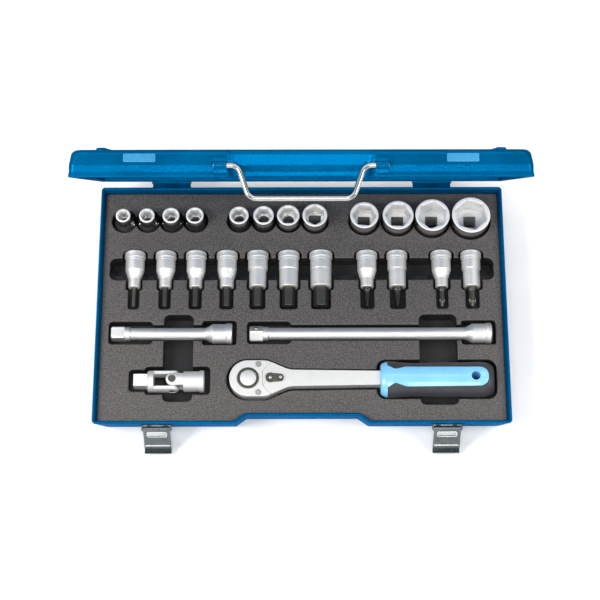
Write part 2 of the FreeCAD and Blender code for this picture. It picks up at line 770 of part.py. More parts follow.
def make_universal_joint():
    """Two forks on a cross block: the drive fork's arms lie at the sides, the other's above and below."""
    x, y = size("joint_start"), size("joint_row")
    radius = size("joint_diameter") / 2
    full = size("joint_length")
    flats = size("square_drive")
    pivot, slot = 39.5, 12.8

    square = Part.makeBox(flats - 0.1, flats - 0.1, 15, V(-flats / 2 + 0.05, -flats / 2 + 0.05, 0))
    collar = Part.makeCone(9.6, radius, 1.2, V(0, 0, 14)).fuse(Part.makeCylinder(radius, 5.3, V(0, 0, 15.2)))
    drive = collar.fuse([square, fork_arms(pivot, -19.0, 6.2, slot, "y")]).removeSplitter()
    keep(shaped("DriveFork", drive), "uj_drive_fork", pointing(x, y, 0))

    head = Part.makeCylinder(radius - 0.7, full - 4.5 - (pivot + 11.5), V(0, 0, pivot + 11.5))
    ring = Part.makeCylinder(radius, 4.0, V(0, 0, full - 4.6))
    ring = ring.fuse(Part.makeCone(radius, radius - 0.6, 0.6, V(0, 0, full - 0.6)))
    hole = Part.makeBox(flats + 0.2, flats + 0.2, 20, V(-flats / 2 - 0.1, -flats / 2 - 0.1, full - 15))
    arms = fork_arms(pivot, 11.5, -6.2, slot, "x")
    socket = head.fuse([ring, arms]).cut(hole).removeSplitter()
    keep(shaped("SocketFork", socket), "uj_socket_fork", pointing(x, y, 0))

    half = slot / 2 - 0.2
    core = Part.makeBox(2 * half, 2 * half, 2 * half, V(-half, -half, pivot - half))
    core = core.common(Part.makeSphere(half * 1.35, V(0, 0, pivot)))
    reach = radius - 1.2
    arms = [cylinder(4.0, (-reach, 0, pivot), (reach, 0, pivot)),
            cylinder(4.0, (0, -reach, pivot), (0, reach, pivot))]
    keep(shaped("UjCross", core.fuse(arms).removeSplitter()), "uj_cross", pointing(x, y, 0))


# ---------------------------------------------------------------- ratchet
HEAD_X = size("ratchet_head_x")
HEAD_Y = size("ratchet_row")
HEAD_TOP = size("ratchet_top")
HEAD_LOW = HEAD_TOP - size("head_thickness")
COVER_LOW = HEAD_TOP - 3.0
GRIP_Z = 32.0


def head_outline(grow=0.0, shank_end=80.0):
    """Corners and radii of the forged head and shank, seen from above and measured from the head's centre."""
    r = size("head_radius") + grow
    w = size("shank_width") / 2 + grow
    thin = 7.4 + grow
    end = shank_end - HEAD_X
    points = [(-r, -r), (19.0, -r), (42.0, -w), (end, -thin), (end, thin), (42.0, w), (19.0, r), (-r, r)]
    radii = [r - 0.05, 14.0, 26.0, 0.3, 0.3, 26.0, 14.0, r - 0.05]
    return points, radii


def around_head(solid):
    solid.translate(V(HEAD_X, HEAD_Y, 0))
    return solid


def seam_area(low, high, gap=0.0):
    """The part of the head left of the cover's seam, which bends round the reversing lever."""
    bends = [(25.5, 30), (24.5, 18.5), (14.8, 7.5)]
    below = [(x - gap, -y) for x, y in bends]
    above = [(x - gap, y) for x, y in reversed(bends)]
    points = [(-40, -30)] + below + above + [(-40, 30)]
    return prism(points, [1, 1, 3, 5, 5, 3, 1, 1], low, high)


SEAM_GAP = 0.35
SCREWS = [(10.6, 15.1), (10.6, -15.1)]
LEVER_AT = 22.8


def toothed_wheel(radius, depth, teeth, low, high):
    corners = []
    for i in range(teeth * 2):
        turn = math.pi * i / teeth
        reach = radius if i % 2 == 0 else radius - depth
        corners.append((reach * math.cos(turn), reach * math.sin(turn)))
    return upright(corners, low, high)


def grip_solid(grow=0.0):
    """The grip's full outside: ellipses strung along the handle."""
    start, end = size("grip_start"), size("grip_end")
    wide, thick = size("grip_width") / 2 + grow, size("grip_thickness") / 2 + grow
    stations = [
        (start - grow, 0.80, 0.80), (start + 3.0, 0.97, 0.97), (start + 20.0, 1.0, 1.0),
        (start + 60.0, 0.98, 0.97), (end - 22.0, 1.0, 1.0), (end - 7.0, 0.96, 0.94),
        (end - 1.5, 0.80, 0.76), (end + grow, 0.62, 0.58),
    ]
    across_handle = FreeCAD.Rotation(V(0, 1, 0), V(0, 0, 1), V(1, 0, 0), "ZXY")
    wires = []
    for x, across, up in stations:
        ellipse = Part.Ellipse(V(0, 0, 0), wide * across, thick * up)
        edge = ellipse.toShape()
        edge.Placement = FreeCAD.Placement(V(x, HEAD_Y, GRIP_Z), across_handle)
        wires.append(Part.Wire([edge]))
    return Part.makeLoft(wires, True, False)


def inlay_area():
    """The light core seen from above: a full collar, a waist, and a long panel."""
    start, end = size("grip_start"), size("grip_end")
    collar = block(start - 2, start + 7, HEAD_Y - 30, HEAD_Y + 30, 0.5, GRIP_Z - 30, GRIP_Z + 30)
    points = [(start + 5, -13), (start + 15, -7.2), (start + 26, -10.6), (end - 6, -10.0), (end - 6, 10.0),
              (start + 26, 10.6), (start + 15, 7.2), (start + 5, 13)]
    panel = prism(points, [0.5, 5, 12, 9, 9, 12, 5, 0.5], GRIP_Z - 30, GRIP_Z + 30)
    panel.translate(V(0, HEAD_Y, 0))
    return collar.fuse(panel)


def head_cylinder(radius, low, high, x=0.0, y=0.0):
    """An upright cylinder beside the head's middle; its heights are counted from the head's top."""
    centre = (HEAD_X + x, HEAD_Y + y)
    return cylinder(radius, (*centre, HEAD_TOP + low), (*centre, HEAD_TOP + high))


def make_ratchet():
    spin = (HEAD_X, HEAD_Y)
    points, radii = head_outline()
    body = around_head(prism(points, radii, HEAD_LOW, HEAD_TOP))
    under = Part.makeBox(300, 60, 10, V(HEAD_X + 30, HEAD_Y - 30, HEAD_TOP - size("shank_thickness") - 10))
    cavity = cylinder(13.4, (*spin, HEAD_LOW + 3.0), (*spin, HEAD_TOP))
    outlet = cylinder(10.2, (*spin, HEAD_LOW - 1), (*spin, HEAD_TOP))
    ledge = around_head(seam_area(COVER_LOW, HEAD_TOP + 1))
    lever_hole = head_cylinder(3.05, -8, 1, LEVER_AT)
    holes = [head_cylinder(1.5, -10, 0, x, y) for x, y in SCREWS]
    body = body.cut([under, cavity, outlet, ledge, lever_hole] + holes)
    tang = Part.makeBox(24, 10, 7, V(size("grip_start") - 0.5, HEAD_Y - 5, GRIP_Z - 3.5))
    body = body.fuse(tang).removeSplitter()
    keep(shaped("RatchetHandle", body), "ratchet_handle")

    cover = around_head(prism(points, radii, COVER_LOW + 0.01, HEAD_TOP))
    cover = cover.common(around_head(seam_area(COVER_LOW, HEAD_TOP + 1, SEAM_GAP)))
    opening = cylinder(11.5, (*spin, COVER_LOW - 1), (*spin, HEAD_TOP + 1))
    seats = [head_cylinder(3.1, -1.6, 1, x, y) for x, y in SCREWS]
    shafts = [head_cylinder(1.5, -10, 0, x, y) for x, y in SCREWS]
    keep(shaped("RatchetCover", cover.cut([opening] + seats + shafts)), "ratchet_cover")

    screws = []
    for x, y in SCREWS:
        screw = head_cylinder(2.8, -1.6, -0.3, x, y).fuse(head_cylinder(1.45, -9.5, -1.5, x, y))
        key = prism(regular_points(6, 2.5), [0.05] * 6, HEAD_TOP - 1.3, HEAD_TOP)
        key.translate(V(HEAD_X + x, HEAD_Y + y, 0))
        screws.append(screw.cut(key))
    keep(shaped("CoverScrews", Part.makeCompound(screws)), "cover_screws")

    wheel = toothed_wheel(13.1, 0.9, 36, HEAD_LOW + 3.2, COVER_LOW - 0.15)
    hub = cylinder(11.2, (*spin, COVER_LOW - 0.2), (*spin, HEAD_TOP - 0.3))
    journal = cylinder(10.1, (*spin, HEAD_LOW - 0.2), (*spin, HEAD_LOW + 3.3))
    flats = size("square_drive") - 0.1
    square = Part.makeBox(flats, flats, 14.2, V(HEAD_X - flats / 2, HEAD_Y - flats / 2, HEAD_LOW - 14.0))
    wheel.translate(V(HEAD_X, HEAD_Y, 0))
    well = head_cylinder(8.2, -6, 0)
    drive = wheel.fuse([hub, journal, square]).cut(well).removeSplitter()
    keep(shaped("RatchetDrive", drive), "ratchet_drive")

    button = head_cylinder(8.1, -4.5, -0.2)
    dome = Part.makeSphere(40.0, V(*spin, HEAD_TOP + 0.6 - 40.0)).common(head_cylinder(8.1, -1, 2))
    keep(shaped("ReleaseButton", button.fuse(dome).removeSplitter()), "release_button")

    tail = prism([(LEVER_AT - 2, -4.9), (LEVER_AT + 13.5, -3.6), (LEVER_AT + 13.5, 3.6), (LEVER_AT - 2, 4.9)],
                 [0.4, 3.5, 3.5, 0.4], HEAD_TOP + 0.1, HEAD_TOP + 2.0)
    lever = around_head(tail).fuse([
        head_cylinder(5.0, 0.1, 2.4, LEVER_AT),
        head_cylinder(2.6, 1, 3.2, LEVER_AT + 10.4),
        head_cylinder(3.0, -7.5, 1, LEVER_AT),
    ]).removeSplitter()
    keep(shaped("ReversingLever", lever), "reversing_lever")

    grip = grip_solid()
    eye_x = size("grip_end") - 19
    eyelet = cylinder(4.6, (eye_x, HEAD_Y, GRIP_Z - 30), (eye_x, HEAD_Y, GRIP_Z + 30))
    area = inlay_area()
    keep(shaped("GripCore", grip.common(area).cut([eyelet, tang])), "grip_core")
    keep(shaped("GripShell", grip.cut(area.fuse(tang))), "grip_shell")


# ---------------------------------------------------------------- moulded insert
LIP_RADIUS = 1.3
LIP_STEPS = (0, 30, 60, 90)


def lipped(section, floor, top):
    """A recess with a rounded mouth at the insert's top; section(extra, z) gives its wire, grown by extra."""
    lip = [(section(0.0, floor)), section(0.0, top - LIP_RADIUS)]
    for degrees in LIP_STEPS[1:]:
        turn = math.radians(degrees)
        extra = LIP_RADIUS * (1 - math.cos(turn))
        lip.append(section(extra, top - LIP_RADIUS * (1 - math.sin(turn))))
    lip.append(section(LIP_RADIUS, top + 6.0))
    return Part.makeLoft(lip, True, True)


def pocket_sections():
    """Every tool recess as (section function, floor height); a section is drawn out by its first argument."""
    made = []

    def bowl(x, y, radius, floor):
        def section(extra, z):
            return Part.Wire([Part.Circle(V(x, y, z), V(0, 0, 1), radius + extra).toShape()])

        made.append((section, floor))

    def tray(x1, x2, y1, y2, corner, floor):
        def section(e, z):
            points = [(x1 - e, y1 - e), (x2 + e, y1 - e), (x2 + e, y2 + e), (x1 - e, y2 + e)]
            return rounded_wire(points, [corner + e] * 4, z)

        made.append((section, floor))

    for flats, (x, mouth, length, turn) in SOCKETS.items():
        widest = max(mouth, size("drive_end_diameter"))
        radius = 13.3 if mouth < 22 else widest / 2 + 1.6
        bowl(x, size("socket_row"), radius, size("socket_top") - length)

    back = size("bit_row_back")
    front = back - size("holder_length")
    axis = size("tool_axis")
    for x, collar, sleeve, kind, tip in BITS.values():
        half = collar / 2 + 2.2
        tray(x - half, x + half, front + 12, back + 1.6, 5.0, axis - collar / 2 - 0.3)
        half = sleeve / 2 + 2.4
        tray(x - half, x + half, front - 3.5, front + 16, 3.0, axis - sleeve / 2 - 0.4)
        half = max(tip / 2 + 3.2, 5.8)
        tray(x - half, x + half, front - size("bit_reach") - 3.5, front + 6, 3.0, axis - tip / 2 - 1.0)
    tray(-201.0, 201.0, 37.5, 52.5, 7.0, 14.0)
    tray(-201.0, 201.0, 28.0, 45.0, 7.0, 21.0)

    y = size("bar_row")
    for start, length in (("short_bar_start", "short_bar_length"), ("long_bar_start", "long_bar_length")):
        x1 = size(start)
        x2 = x1 + size(length)
        tray(x1 - 2.4, x1 + 43, y - 12.3, y + 12.3, 4.0, axis - 9.6)
        tray(x1 + 30, x2 - 20, y - 8.6, y + 8.6, 3.0, axis - 7.0)
        tray(x2 - 31, x2 + 4.4, y - 13.2, y + 13.2, 3.0, axis - 11.4)

    x, y = size("joint_start"), size("joint_row")
    tray(x - 5, x + 18, y - 11.8, y + 11.8, 4.0, axis - 9.2)
    tray(x + 11, x + 78, y - 15.0, y + 15.0, 4.0, axis - 11.7)
    tray(-142.5, -112.0, -105.0, -10.8, 6.0, 15.0)
    tray(121.0, 160.0, -108.5, -10.8, 6.0, 15.0)

    def around_ratchet(extra, z):
        points, radii = head_outline(3.0 + extra, 86.0)
        wire = rounded_wire(points, radii, z)
        wire.translate(V(HEAD_X, HEAD_Y, 0))
        return wire

    made.append((around_ratchet, HEAD_LOW - 0.4))
    start, end = size("grip_start"), size("grip_end")
    tray(start - 3.5, end + 3.0, HEAD_Y - 21.0, HEAD_Y + 21.0, 9.0, GRIP_Z - size("grip_thickness") / 2 - 1.4)
    bowl(HEAD_X, HEAD_Y, 10.6, HEAD_LOW - 14.6)
    return made


def fused(solids):
    return solids[0].multiFuse(solids[1:])


def insert_areas():
    """The moulding is kept as four solids that meet beside the recesses: sockets, bits, and two in front."""
    edge_x, edge_y = 230.0, 150.0
    behind_bits, before_bits = 67.0, -7.6
    beside_bars, beside_joint, between_rows = -62.0, -86.0, -50.0
    plans = [
        [(-edge_x, behind_bits), (edge_x, behind_bits), (edge_x, edge_y), (-edge_x, edge_y)],
        [(-edge_x, before_bits), (edge_x, before_bits), (edge_x, behind_bits), (-edge_x, behind_bits)],
        [(-edge_x, -edge_y), (beside_joint, -edge_y), (beside_joint, between_rows),
         (beside_bars, between_rows), (beside_bars, before_bits), (-edge_x, before_bits)],
        [(beside_joint, -edge_y), (edge_x, -edge_y), (edge_x, before_bits),
         (beside_bars, before_bits), (beside_bars, between_rows), (beside_joint, between_rows)],
    ]
    return [upright(plan, -1.0, BASE_H) for plan in plans]


def make_insert():
    top, gauge = size("insert_top"), size("insert_gauge")
    clear = size("sheet_gauge") + 0.6
    shoulder = 3.0
    outside = [(top, shoulder), (top - 0.8, 1.2), (top - shoulder, 0.0), (6.0, 0.0)]
    inside = [(top - gauge, shoulder), (top - shoulder - 0.6, 0.0), (5.0, 0.0)]
    crown = pan_loft(BASE_H, 0.0, BASE_FAR, clear, outside)
    under = pan_loft(BASE_H, 0.0, BASE_FAR, clear + gauge, inside)
    limit = pan_loft(BASE_H, 0.0, BASE_FAR, clear, [(top - 0.5, 0.0), (2.4, 0.0)])
    sections = pocket_sections()
    cups = fused([Part.makeLoft([wire(gauge, floor - gauge), wire(gauge, top - 0.5)], True, True)
                  for wire, floor in sections]).common(limit)
    recesses = fused([lipped(wire, floor, top) for wire, floor in sections])
    insert = crown.cut(under).fuse(cups).cut(recesses).removeSplitter()
    parts = [insert.common(area) for area in insert_areas()]
    keep(shaped("ToolInsert", Part.makeCompound(parts)), "tool_insert")


def export_all():
    doc.recompute()
    for obj in doc.Objects:
        if any(word in obj.State for word in ("Invalid", "Error")):
            raise RuntimeError(f"{obj.Name} failed: {obj.State}")
    os.makedirs("parts", exist_ok=True)
    for obj in NODES:
        shape = obj.Shape
        if shape.isNull() or not shape.isValid():
            raise RuntimeError(f"{obj.Label} has no valid shape")
        shape.exportStep(f"parts/{obj.Label}.step")
    print(len(NODES), "parts written")


make_case()
make_hinges()
make_handle()
make_latches()
for flats, spec in SOCKETS.items():
    make_socket(flats, *spec)
for name, spec in BITS.items():
    make_bit_socket(name, *spec)
make_bar("extension_bar_short", "short_bar_length", size("short_bar_start"), 0)
make_bar("extension_bar_long", "long_bar_length", size("long_bar_start"), 45)
make_universal_joint()
make_ratchet()
make_insert()
export_all()
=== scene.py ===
import json
import math

import bmesh
import bpy
import numpy as np
from mathutils import Matrix, Vector

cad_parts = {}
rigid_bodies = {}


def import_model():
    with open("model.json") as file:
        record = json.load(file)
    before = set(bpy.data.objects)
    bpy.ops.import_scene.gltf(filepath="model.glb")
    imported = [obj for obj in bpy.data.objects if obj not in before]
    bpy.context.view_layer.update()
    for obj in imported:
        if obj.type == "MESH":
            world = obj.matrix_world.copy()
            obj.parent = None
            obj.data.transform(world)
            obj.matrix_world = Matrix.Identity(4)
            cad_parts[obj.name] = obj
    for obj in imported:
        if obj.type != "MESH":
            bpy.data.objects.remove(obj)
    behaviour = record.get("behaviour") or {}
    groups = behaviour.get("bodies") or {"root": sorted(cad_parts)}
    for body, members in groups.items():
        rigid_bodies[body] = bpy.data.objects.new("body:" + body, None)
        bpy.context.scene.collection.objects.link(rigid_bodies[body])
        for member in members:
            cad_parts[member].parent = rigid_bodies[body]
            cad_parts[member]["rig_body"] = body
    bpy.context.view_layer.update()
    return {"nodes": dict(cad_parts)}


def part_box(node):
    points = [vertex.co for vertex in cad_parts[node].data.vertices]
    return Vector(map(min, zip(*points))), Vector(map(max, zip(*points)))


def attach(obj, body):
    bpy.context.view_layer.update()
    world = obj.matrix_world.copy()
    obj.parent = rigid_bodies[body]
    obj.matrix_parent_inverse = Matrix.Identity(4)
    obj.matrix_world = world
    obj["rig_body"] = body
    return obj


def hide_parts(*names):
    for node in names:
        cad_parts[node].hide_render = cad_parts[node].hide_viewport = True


# A socket wrench set in a sheet-steel case. Shapes are worked out in millimetres in the CAD's own frame:
# X along the case, Y from the latches to the hinges, Z up.
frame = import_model()
MM = 0.001

# ---------------------------------------------------------------- places taken from the frame


def box(node):
    """Lowest and highest corner of a CAD node, in millimetres."""
    low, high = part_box(node)
    return low / MM, high / MM


def middle(node):
    low, high = box(node)
    return (low + high) / 2


def body_of(node):
    return frame["nodes"][node]["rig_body"]


BASE_HIGH = box("case_base")[1]
CASE_X = BASE_HIGH.x
CASE_Y = 131.0
RIM_Z = BASE_HIGH.z
LID_RISE = 25.4
BASE_INSET = 9.0
LID_INSET = 4.5
LID_SLOPE = LID_INSET / LID_RISE
HINGE_X = 138.0
HINGE_Y = CASE_Y + 5.7
LID_REST = math.radians(-66.0)
LID_PLACE = (Matrix.Translation((0, HINGE_Y, RIM_Z)) @ Matrix.Rotation(LID_REST, 4, "X")
             @ Matrix.Translation((0, -HINGE_Y, -RIM_Z)))
LATCH_X = 147.0
LATCH_Y = -133.6
LATCH_Z = 33.5
LATCH_OPEN = math.radians(154.0)
LATCH_PLACE = (Matrix.Translation((0, LATCH_Y, LATCH_Z)) @ Matrix.Rotation(LATCH_OPEN, 4, "X")
               @ Matrix.Translation((0, -LATCH_Y, -LATCH_Z)))
TOOL_AXIS = middle("bit_holder_hex_8").z
HEAD = middle("release_button")
HEAD_TOP = box("ratchet_cover")[1].z

# ---------------------------------------------------------------- materials


class Surface:
    """A Principled material built up from procedural detail; textures lie in the piece's own coordinates."""

    def __init__(self, name, **sockets):
        self.material = bpy.data.materials.new(name)
        self.material.use_nodes = True
        self.tree = self.material.node_tree
        self.shader = self.tree.nodes["Principled BSDF"]
        for socket, value in sockets.items():
            self.shader.inputs[socket.replace("_", " ")].default_value = value
        self.place = self.tree.nodes.new("ShaderNodeTexCoord").outputs["Object"]

    def node(self, kind, **settings):
        made = self.tree.nodes.new(kind)
        for key, value in settings.items():
            setattr(made, key, value)
        return made

    def feed(self, socket, value):
        if isinstance(value, bpy.types.NodeSocket):
            self.tree.links.new(value, socket)
        else:
            socket.default_value = value

    def stretched(self, scale):
        mapping = self.node("ShaderNodeMapping")
        self.feed(mapping.inputs["Vector"], self.place)
        mapping.inputs["Scale"].default_value = scale
        return mapping.outputs["Vector"]

    def noise(self, size, detail=2.0, stretch=(1, 1, 1), roughness=0.5):
        """Noise with features about size millimetres across."""
        made = self.node("ShaderNodeTexNoise")
        self.feed(made.inputs["Vector"], self.stretched(stretch))
        made.inputs["Scale"].default_value = 1 / (size * MM)
        made.inputs["Detail"].default_value = detail
        made.inputs["Roughness"].default_value = roughness
        return made.outputs["Fac"]

    def cells(self, size):
        made = self.node("ShaderNodeTexVoronoi")
        self.feed(made.inputs["Vector"], self.place)
        made.inputs["Scale"].default_value = 1 / (size * MM)
        return made.outputs["Distance"]

    def height(self, low, high):
        """0 below one height and 1 above another, in millimetres."""
        split = self.node("ShaderNodeSeparateXYZ")
        self.feed(split.inputs["Vector"], self.place)
        return self.ranged(split.outputs["Z"], low * MM, high * MM, 0.0, 1.0)

    def ranged(self, value, low, high, to_low, to_high):
        made = self.node("ShaderNodeMapRange", clamp=True)
        self.feed(made.inputs["Value"], value)
        for socket, number in zip(("From Min", "From Max", "To Min", "To Max"), (low, high, to_low, to_high)):
            made.inputs[socket].default_value = number
        return made.outputs["Result"]

    def math(self, operation, a, b):
        made = self.node("ShaderNodeMath", operation=operation)
        self.feed(made.inputs[0], a)
        self.feed(made.inputs[1], b)
        return made.outputs[0]

    def blend(self, share, a, b):
        made = self.node("ShaderNodeMix", data_type="RGBA")
        self.feed(made.inputs["Factor"], share)
        self.feed(made.inputs["A"], a)
        self.feed(made.inputs["B"], b)
        return made.outputs["Result"]

    def edges(self, low=0.52, high=0.62):
        """1 on outside edges, 0 on flats."""
        return self.ranged(self.node("ShaderNodeNewGeometry").outputs["Pointiness"], low, high, 0.0, 1.0)

    def bump(self, *heights):
        """Stack of (height field, strength, depth in millimetres)."""
        normal = None
        for value, strength, depth in heights:
            made = self.node("ShaderNodeBump")
            made.inputs["Strength"].default_value = strength
            made.inputs["Distance"].default_value = depth * MM
            self.feed(made.inputs["Height"], value)
            if normal is not None:
                self.feed(made.inputs["Normal"], normal)
            normal = made.outputs["Normal"]
        self.feed(self.shader.inputs["Normal"], normal)

    def colour(self, value):
        self.feed(self.shader.inputs["Base Color"], value)

    def rough(self, value):
        self.feed(self.shader.inputs["Roughness"], value)


def rgb(r, g, b):
    return (r, g, b, 1.0)


def powder_coat(name, deep, light, roughness=0.26):
    """Textured paint: soft orange peel, faint clouding and edges worn a little lighter."""
    s = Surface(name, Metallic=0.42, Specular_IOR_Level=0.0, Specular_Tint=rgb(0.02, 0.42, 0.9))
    cloud = s.noise(38, 3.0)
    grain = s.noise(0.7, 2.0)
    tone = s.blend(s.ranged(cloud, 0.35, 0.65, 0.0, 1.0), deep, light)
    worn = s.math("MULTIPLY", s.edges(0.53, 0.66), s.ranged(s.noise(2.6, 4.0), 0.45, 0.62, 0.0, 0.55))
    s.colour(s.blend(worn, tone, rgb(0.05, 0.3, 0.55)))
    s.rough(s.ranged(s.math("ADD", cloud, grain), 0.7, 1.3, roughness - 0.05, roughness + 0.08))
    s.bump((s.noise(2.1, 1.5), 1.0, 0.3), (grain, 0.5, 0.08))
    return s.material


def metal(name, tone, roughness, metallic=1.0, grain=(1, 1, 1), grain_size=0.35, grain_depth=0.01,
          stain=0.08, patch=9.0):
    """Plated steel with fine brushing or blasting, faint clouds and brighter worn edges."""
    s = Surface(name, Metallic=metallic)
    cloud = s.noise(patch, 3.0)
    fine = s.noise(grain_size, 3.0, grain, 0.6)
    darker = tuple(c * (1 - stain) for c in tone[:3]) + (1.0,)
    brighter = tuple(min(1.0, c * 1.12 + 0.02) for c in tone[:3]) + (1.0,)
    base = s.blend(s.ranged(cloud, 0.35, 0.68, 0.0, 1.0), tone, darker)
    s.colour(s.blend(s.edges(0.52, 0.6), base, brighter))
    s.rough(s.ranged(s.math("ADD", cloud, fine), 0.7, 1.3, roughness * 0.82, roughness * 1.2))
    s.bump((fine, 0.3, grain_depth))
    return s.material


def socket_chrome():
    """Polished outside; the broached inside, marked 1 on the mesh, and the rim, marked 2, are matt; the rim
    is also coloured near-white as a painted highlight.
    """
    s = Surface("socket_chrome")
    matt = s.node("ShaderNodeAttribute", attribute_name="broached").outputs["Fac"]
    cloud = s.noise(11, 3.0)
    fine = s.noise(0.5, 3.0)
    base = s.blend(s.ranged(cloud, 0.35, 0.68, 0.0, 1.0), rgb(0.76, 0.755, 0.745), rgb(0.7, 0.695, 0.685))
    # the rim, marked 2, is coloured near-white: a painted highlight on top of its matt finish
    s.colour(s.blend(s.ranged(matt, 1.0, 2.0, 0.0, 1.0), base, rgb(0.95, 0.95, 0.94)))
    s.feed(s.shader.inputs["Metallic"], s.ranged(matt, 0.0, 2.0, 0.97, 0.35))
    s.rough(s.math("ADD", s.ranged(matt, 0.0, 2.0, 0.14, 0.5), s.ranged(fine, 0.3, 0.7, 0.0, 0.08)))
    s.bump((fine, 0.3, 0.006))
    return s.material


def insert_plastic():
    """Grained thermoformed sheet: a leather-like grain on top, smoother recesses, and painted shade that
    colours the recesses near-black.
    """
    s = Surface("moulded_insert", Metallic=0.0, Specular_IOR_Level=0.45)
    # top is 1 on the grained top and 0 down in the recesses, where the painted shade goes
    top = s.height(31.6, 33.6)
    speck = s.noise(1.3, 3.0, roughness=0.7)
    cloud = s.noise(60, 2.0)
    grained = s.blend(s.ranged(speck, 0.38, 0.66, 0.0, 1.0), rgb(0.036, 0.032, 0.031), rgb(0.14, 0.13, 0.126))
    # painted shade: near-black colour for the recesses, standing in for the shadow that falls in them
    low = s.blend(s.ranged(cloud, 0.3, 0.7, 0.0, 1.0), rgb(0.011, 0.011, 0.012), rgb(0.017, 0.016, 0.017))
    s.colour(s.blend(top, low, grained))
    s.rough(s.math("ADD", s.ranged(top, 0.0, 1.0, 0.42, 0.5), s.ranged(speck, 0.3, 0.7, 0.0, 0.12)))
    s.bump((s.noise(9, 2.0), 0.3, 0.5), (s.cells(1.1), 0.45, 0.14), (speck, 0.55, 0.1))
    return s.material


def glossy_grip():
    s = Surface("light_blue_grip", Metallic=0.0, Coat_Weight=0.5, Coat_Roughness=0.08)
    cloud = s.noise(18, 2.0)
    s.colour(s.blend(s.ranged(cloud, 0.35, 0.65, 0.0, 1.0), rgb(0.2, 0.53, 0.84), rgb(0.23, 0.57, 0.88)))
    s.rough(s.ranged(s.noise(1.2, 3.0), 0.3, 0.7, 0.2, 0.32))
    s.bump((s.noise(2.2, 2.0), 0.12, 0.04))
    return s.material


def soft_grip():
    s = Surface("dark_grip", Metallic=0.0, Sheen_Weight=0.08, Sheen_Roughness=0.5)
    cloud = s.noise(14, 2.0)
    fine = s.noise(0.45, 3.0)
    tone = s.blend(s.ranged(cloud, 0.3, 0.7, 0.0, 1.0), rgb(0.024, 0.027, 0.031), rgb(0.036, 0.039, 0.044))
    s.colour(s.blend(s.edges(0.53, 0.64), tone, rgb(0.07, 0.075, 0.08)))
    s.rough(s.ranged(fine, 0.3, 0.7, 0.42, 0.6))
    s.bump((fine, 0.4, 0.03))
    return s.material


BLUE = powder_coat("blue_paint", rgb(0.0, 0.085, 0.215), rgb(0.0, 0.1, 0.25))
# the same blue paint made lighter: a painted highlight for the lid keepers, which catch more light
BLUE_PAINT_PAINTED_HIGHLIGHT = powder_coat("blue_paint_painted_highlight", rgb(0.05, 0.27, 0.52), rgb(0.06, 0.31, 0.57), 0.3)
# zinc plating with its tone darkened further: painted shade standing in for the dark reflection on the latch
# levers
ZINC_WITH_PAINTED_SHADE = metal("zinc_plate", rgb(0.125, 0.145, 0.15), 0.27, 1.0, (1, 0.1, 0.1), 0.5, 0.012, 0.2, 6.0)
WIRE = metal("bright_wire", rgb(0.46, 0.47, 0.48), 0.2, 1.0, (1, 1, 1), 3.0, 0.001, 0.06, 14.0)
INSERT = insert_plastic()
CHROME = metal("chrome", rgb(0.78, 0.775, 0.765), 0.2, 0.98, (1, 1, 1), 0.6, 0.003, 0.06, 11.0)
BLASTED = metal("blasted_chrome", rgb(0.7, 0.695, 0.68), 0.3, 0.9, (1, 1, 1), 0.3, 0.006, 0.06, 11.0)
SCREW = metal("screw_chrome", rgb(0.42, 0.415, 0.4), 0.38, 0.9, (1, 1, 1), 0.4, 0.006, 0.1, 3.0)
SOCKET = socket_chrome()
SATIN = metal("satin_chrome", rgb(0.78, 0.775, 0.76), 0.5, 0.7, (1, 1, 1), 0.22, 0.014, 0.05, 12.0)
BRUSHED_X = metal("satin_chrome_along", rgb(0.78, 0.775, 0.765), 0.42, 0.8, (0.06, 1, 1), 0.3, 0.012,
                  0.05, 16.0)
DARK_STEEL = metal("dark_steel", rgb(0.115, 0.11, 0.095), 0.42, 0.85, (1, 1, 1), 0.5, 0.012, 0.25, 5.0)
LIGHT_GRIP = glossy_grip()
DARK_GRIP = soft_grip()

# ---------------------------------------------------------------- mesh helpers


def finish_piece(obj, node, material, stands_for=None):
    """Give a finished object its material, its body and the CAD nodes that it stands for."""
    obj.data.materials.clear()
    obj.data.materials.append(material)
    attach(obj, body_of(node))
    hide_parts(*(stands_for if stands_for is not None else [node]))
    return obj


def piece(name, node, material, verts, faces, place=None, crease=32.0, stands_for=None, broached=None):
    """A mesh from points in millimetres, smooth except across creases, standing for a CAD node."""
    place = place or Matrix.Identity(4)
    mesh = bpy.data.meshes.new(name)
    mesh.from_pydata([(place @ Vector(v)) * MM for v in verts], [], faces)
    bm = bmesh.new()
    bm.from_mesh(mesh)
    bmesh.ops.recalc_face_normals(bm, faces=bm.faces)
    bm.to_mesh(mesh)
    bm.free()
    if broached is not None:
        mesh.attributes.new("broached", "FLOAT", "POINT").data.foreach_set("value", broached)
    shade(mesh, crease)
    obj = bpy.data.objects.new(name, mesh)
    bpy.context.scene.collection.objects.link(obj)
    obj.modifiers.new("Weighted", "WEIGHTED_NORMAL").keep_sharp = True
    return finish_piece(obj, node, material, stands_for)


def shade(mesh, crease):
    mesh.polygons.foreach_set("use_smooth", [True] * len(mesh.polygons))
    mesh.set_sharp_from_angle(angle=math.radians(crease))


def loft(loops, cap_first=True, cap_last=True, ring=False):
    """Points and faces through loops of equally many points; ring joins the last loop to the first."""
    count = len(loops[0])
    verts = [tuple(p) for loop in loops for p in loop]
    faces = []
    for i in range(len(loops) if ring else len(loops) - 1):
        a, b = i * count, (i + 1) % len(loops) * count
        for k in range(count):
            j = (k + 1) % count
            faces.append((a + k, a + j, b + j, b + k))
    if not ring and cap_first:
        faces.append(tuple(range(count))[::-1])
    if not ring and cap_last:
        last = (len(loops) - 1) * count
        faces.append(tuple(range(last, last + count)))
    return verts, faces


def join(*parts):
    verts, faces = [], []
    for v, f in parts:
        faces += [tuple(i + len(verts) for i in face) for face in f]
        verts += list(v)
    return verts, faces


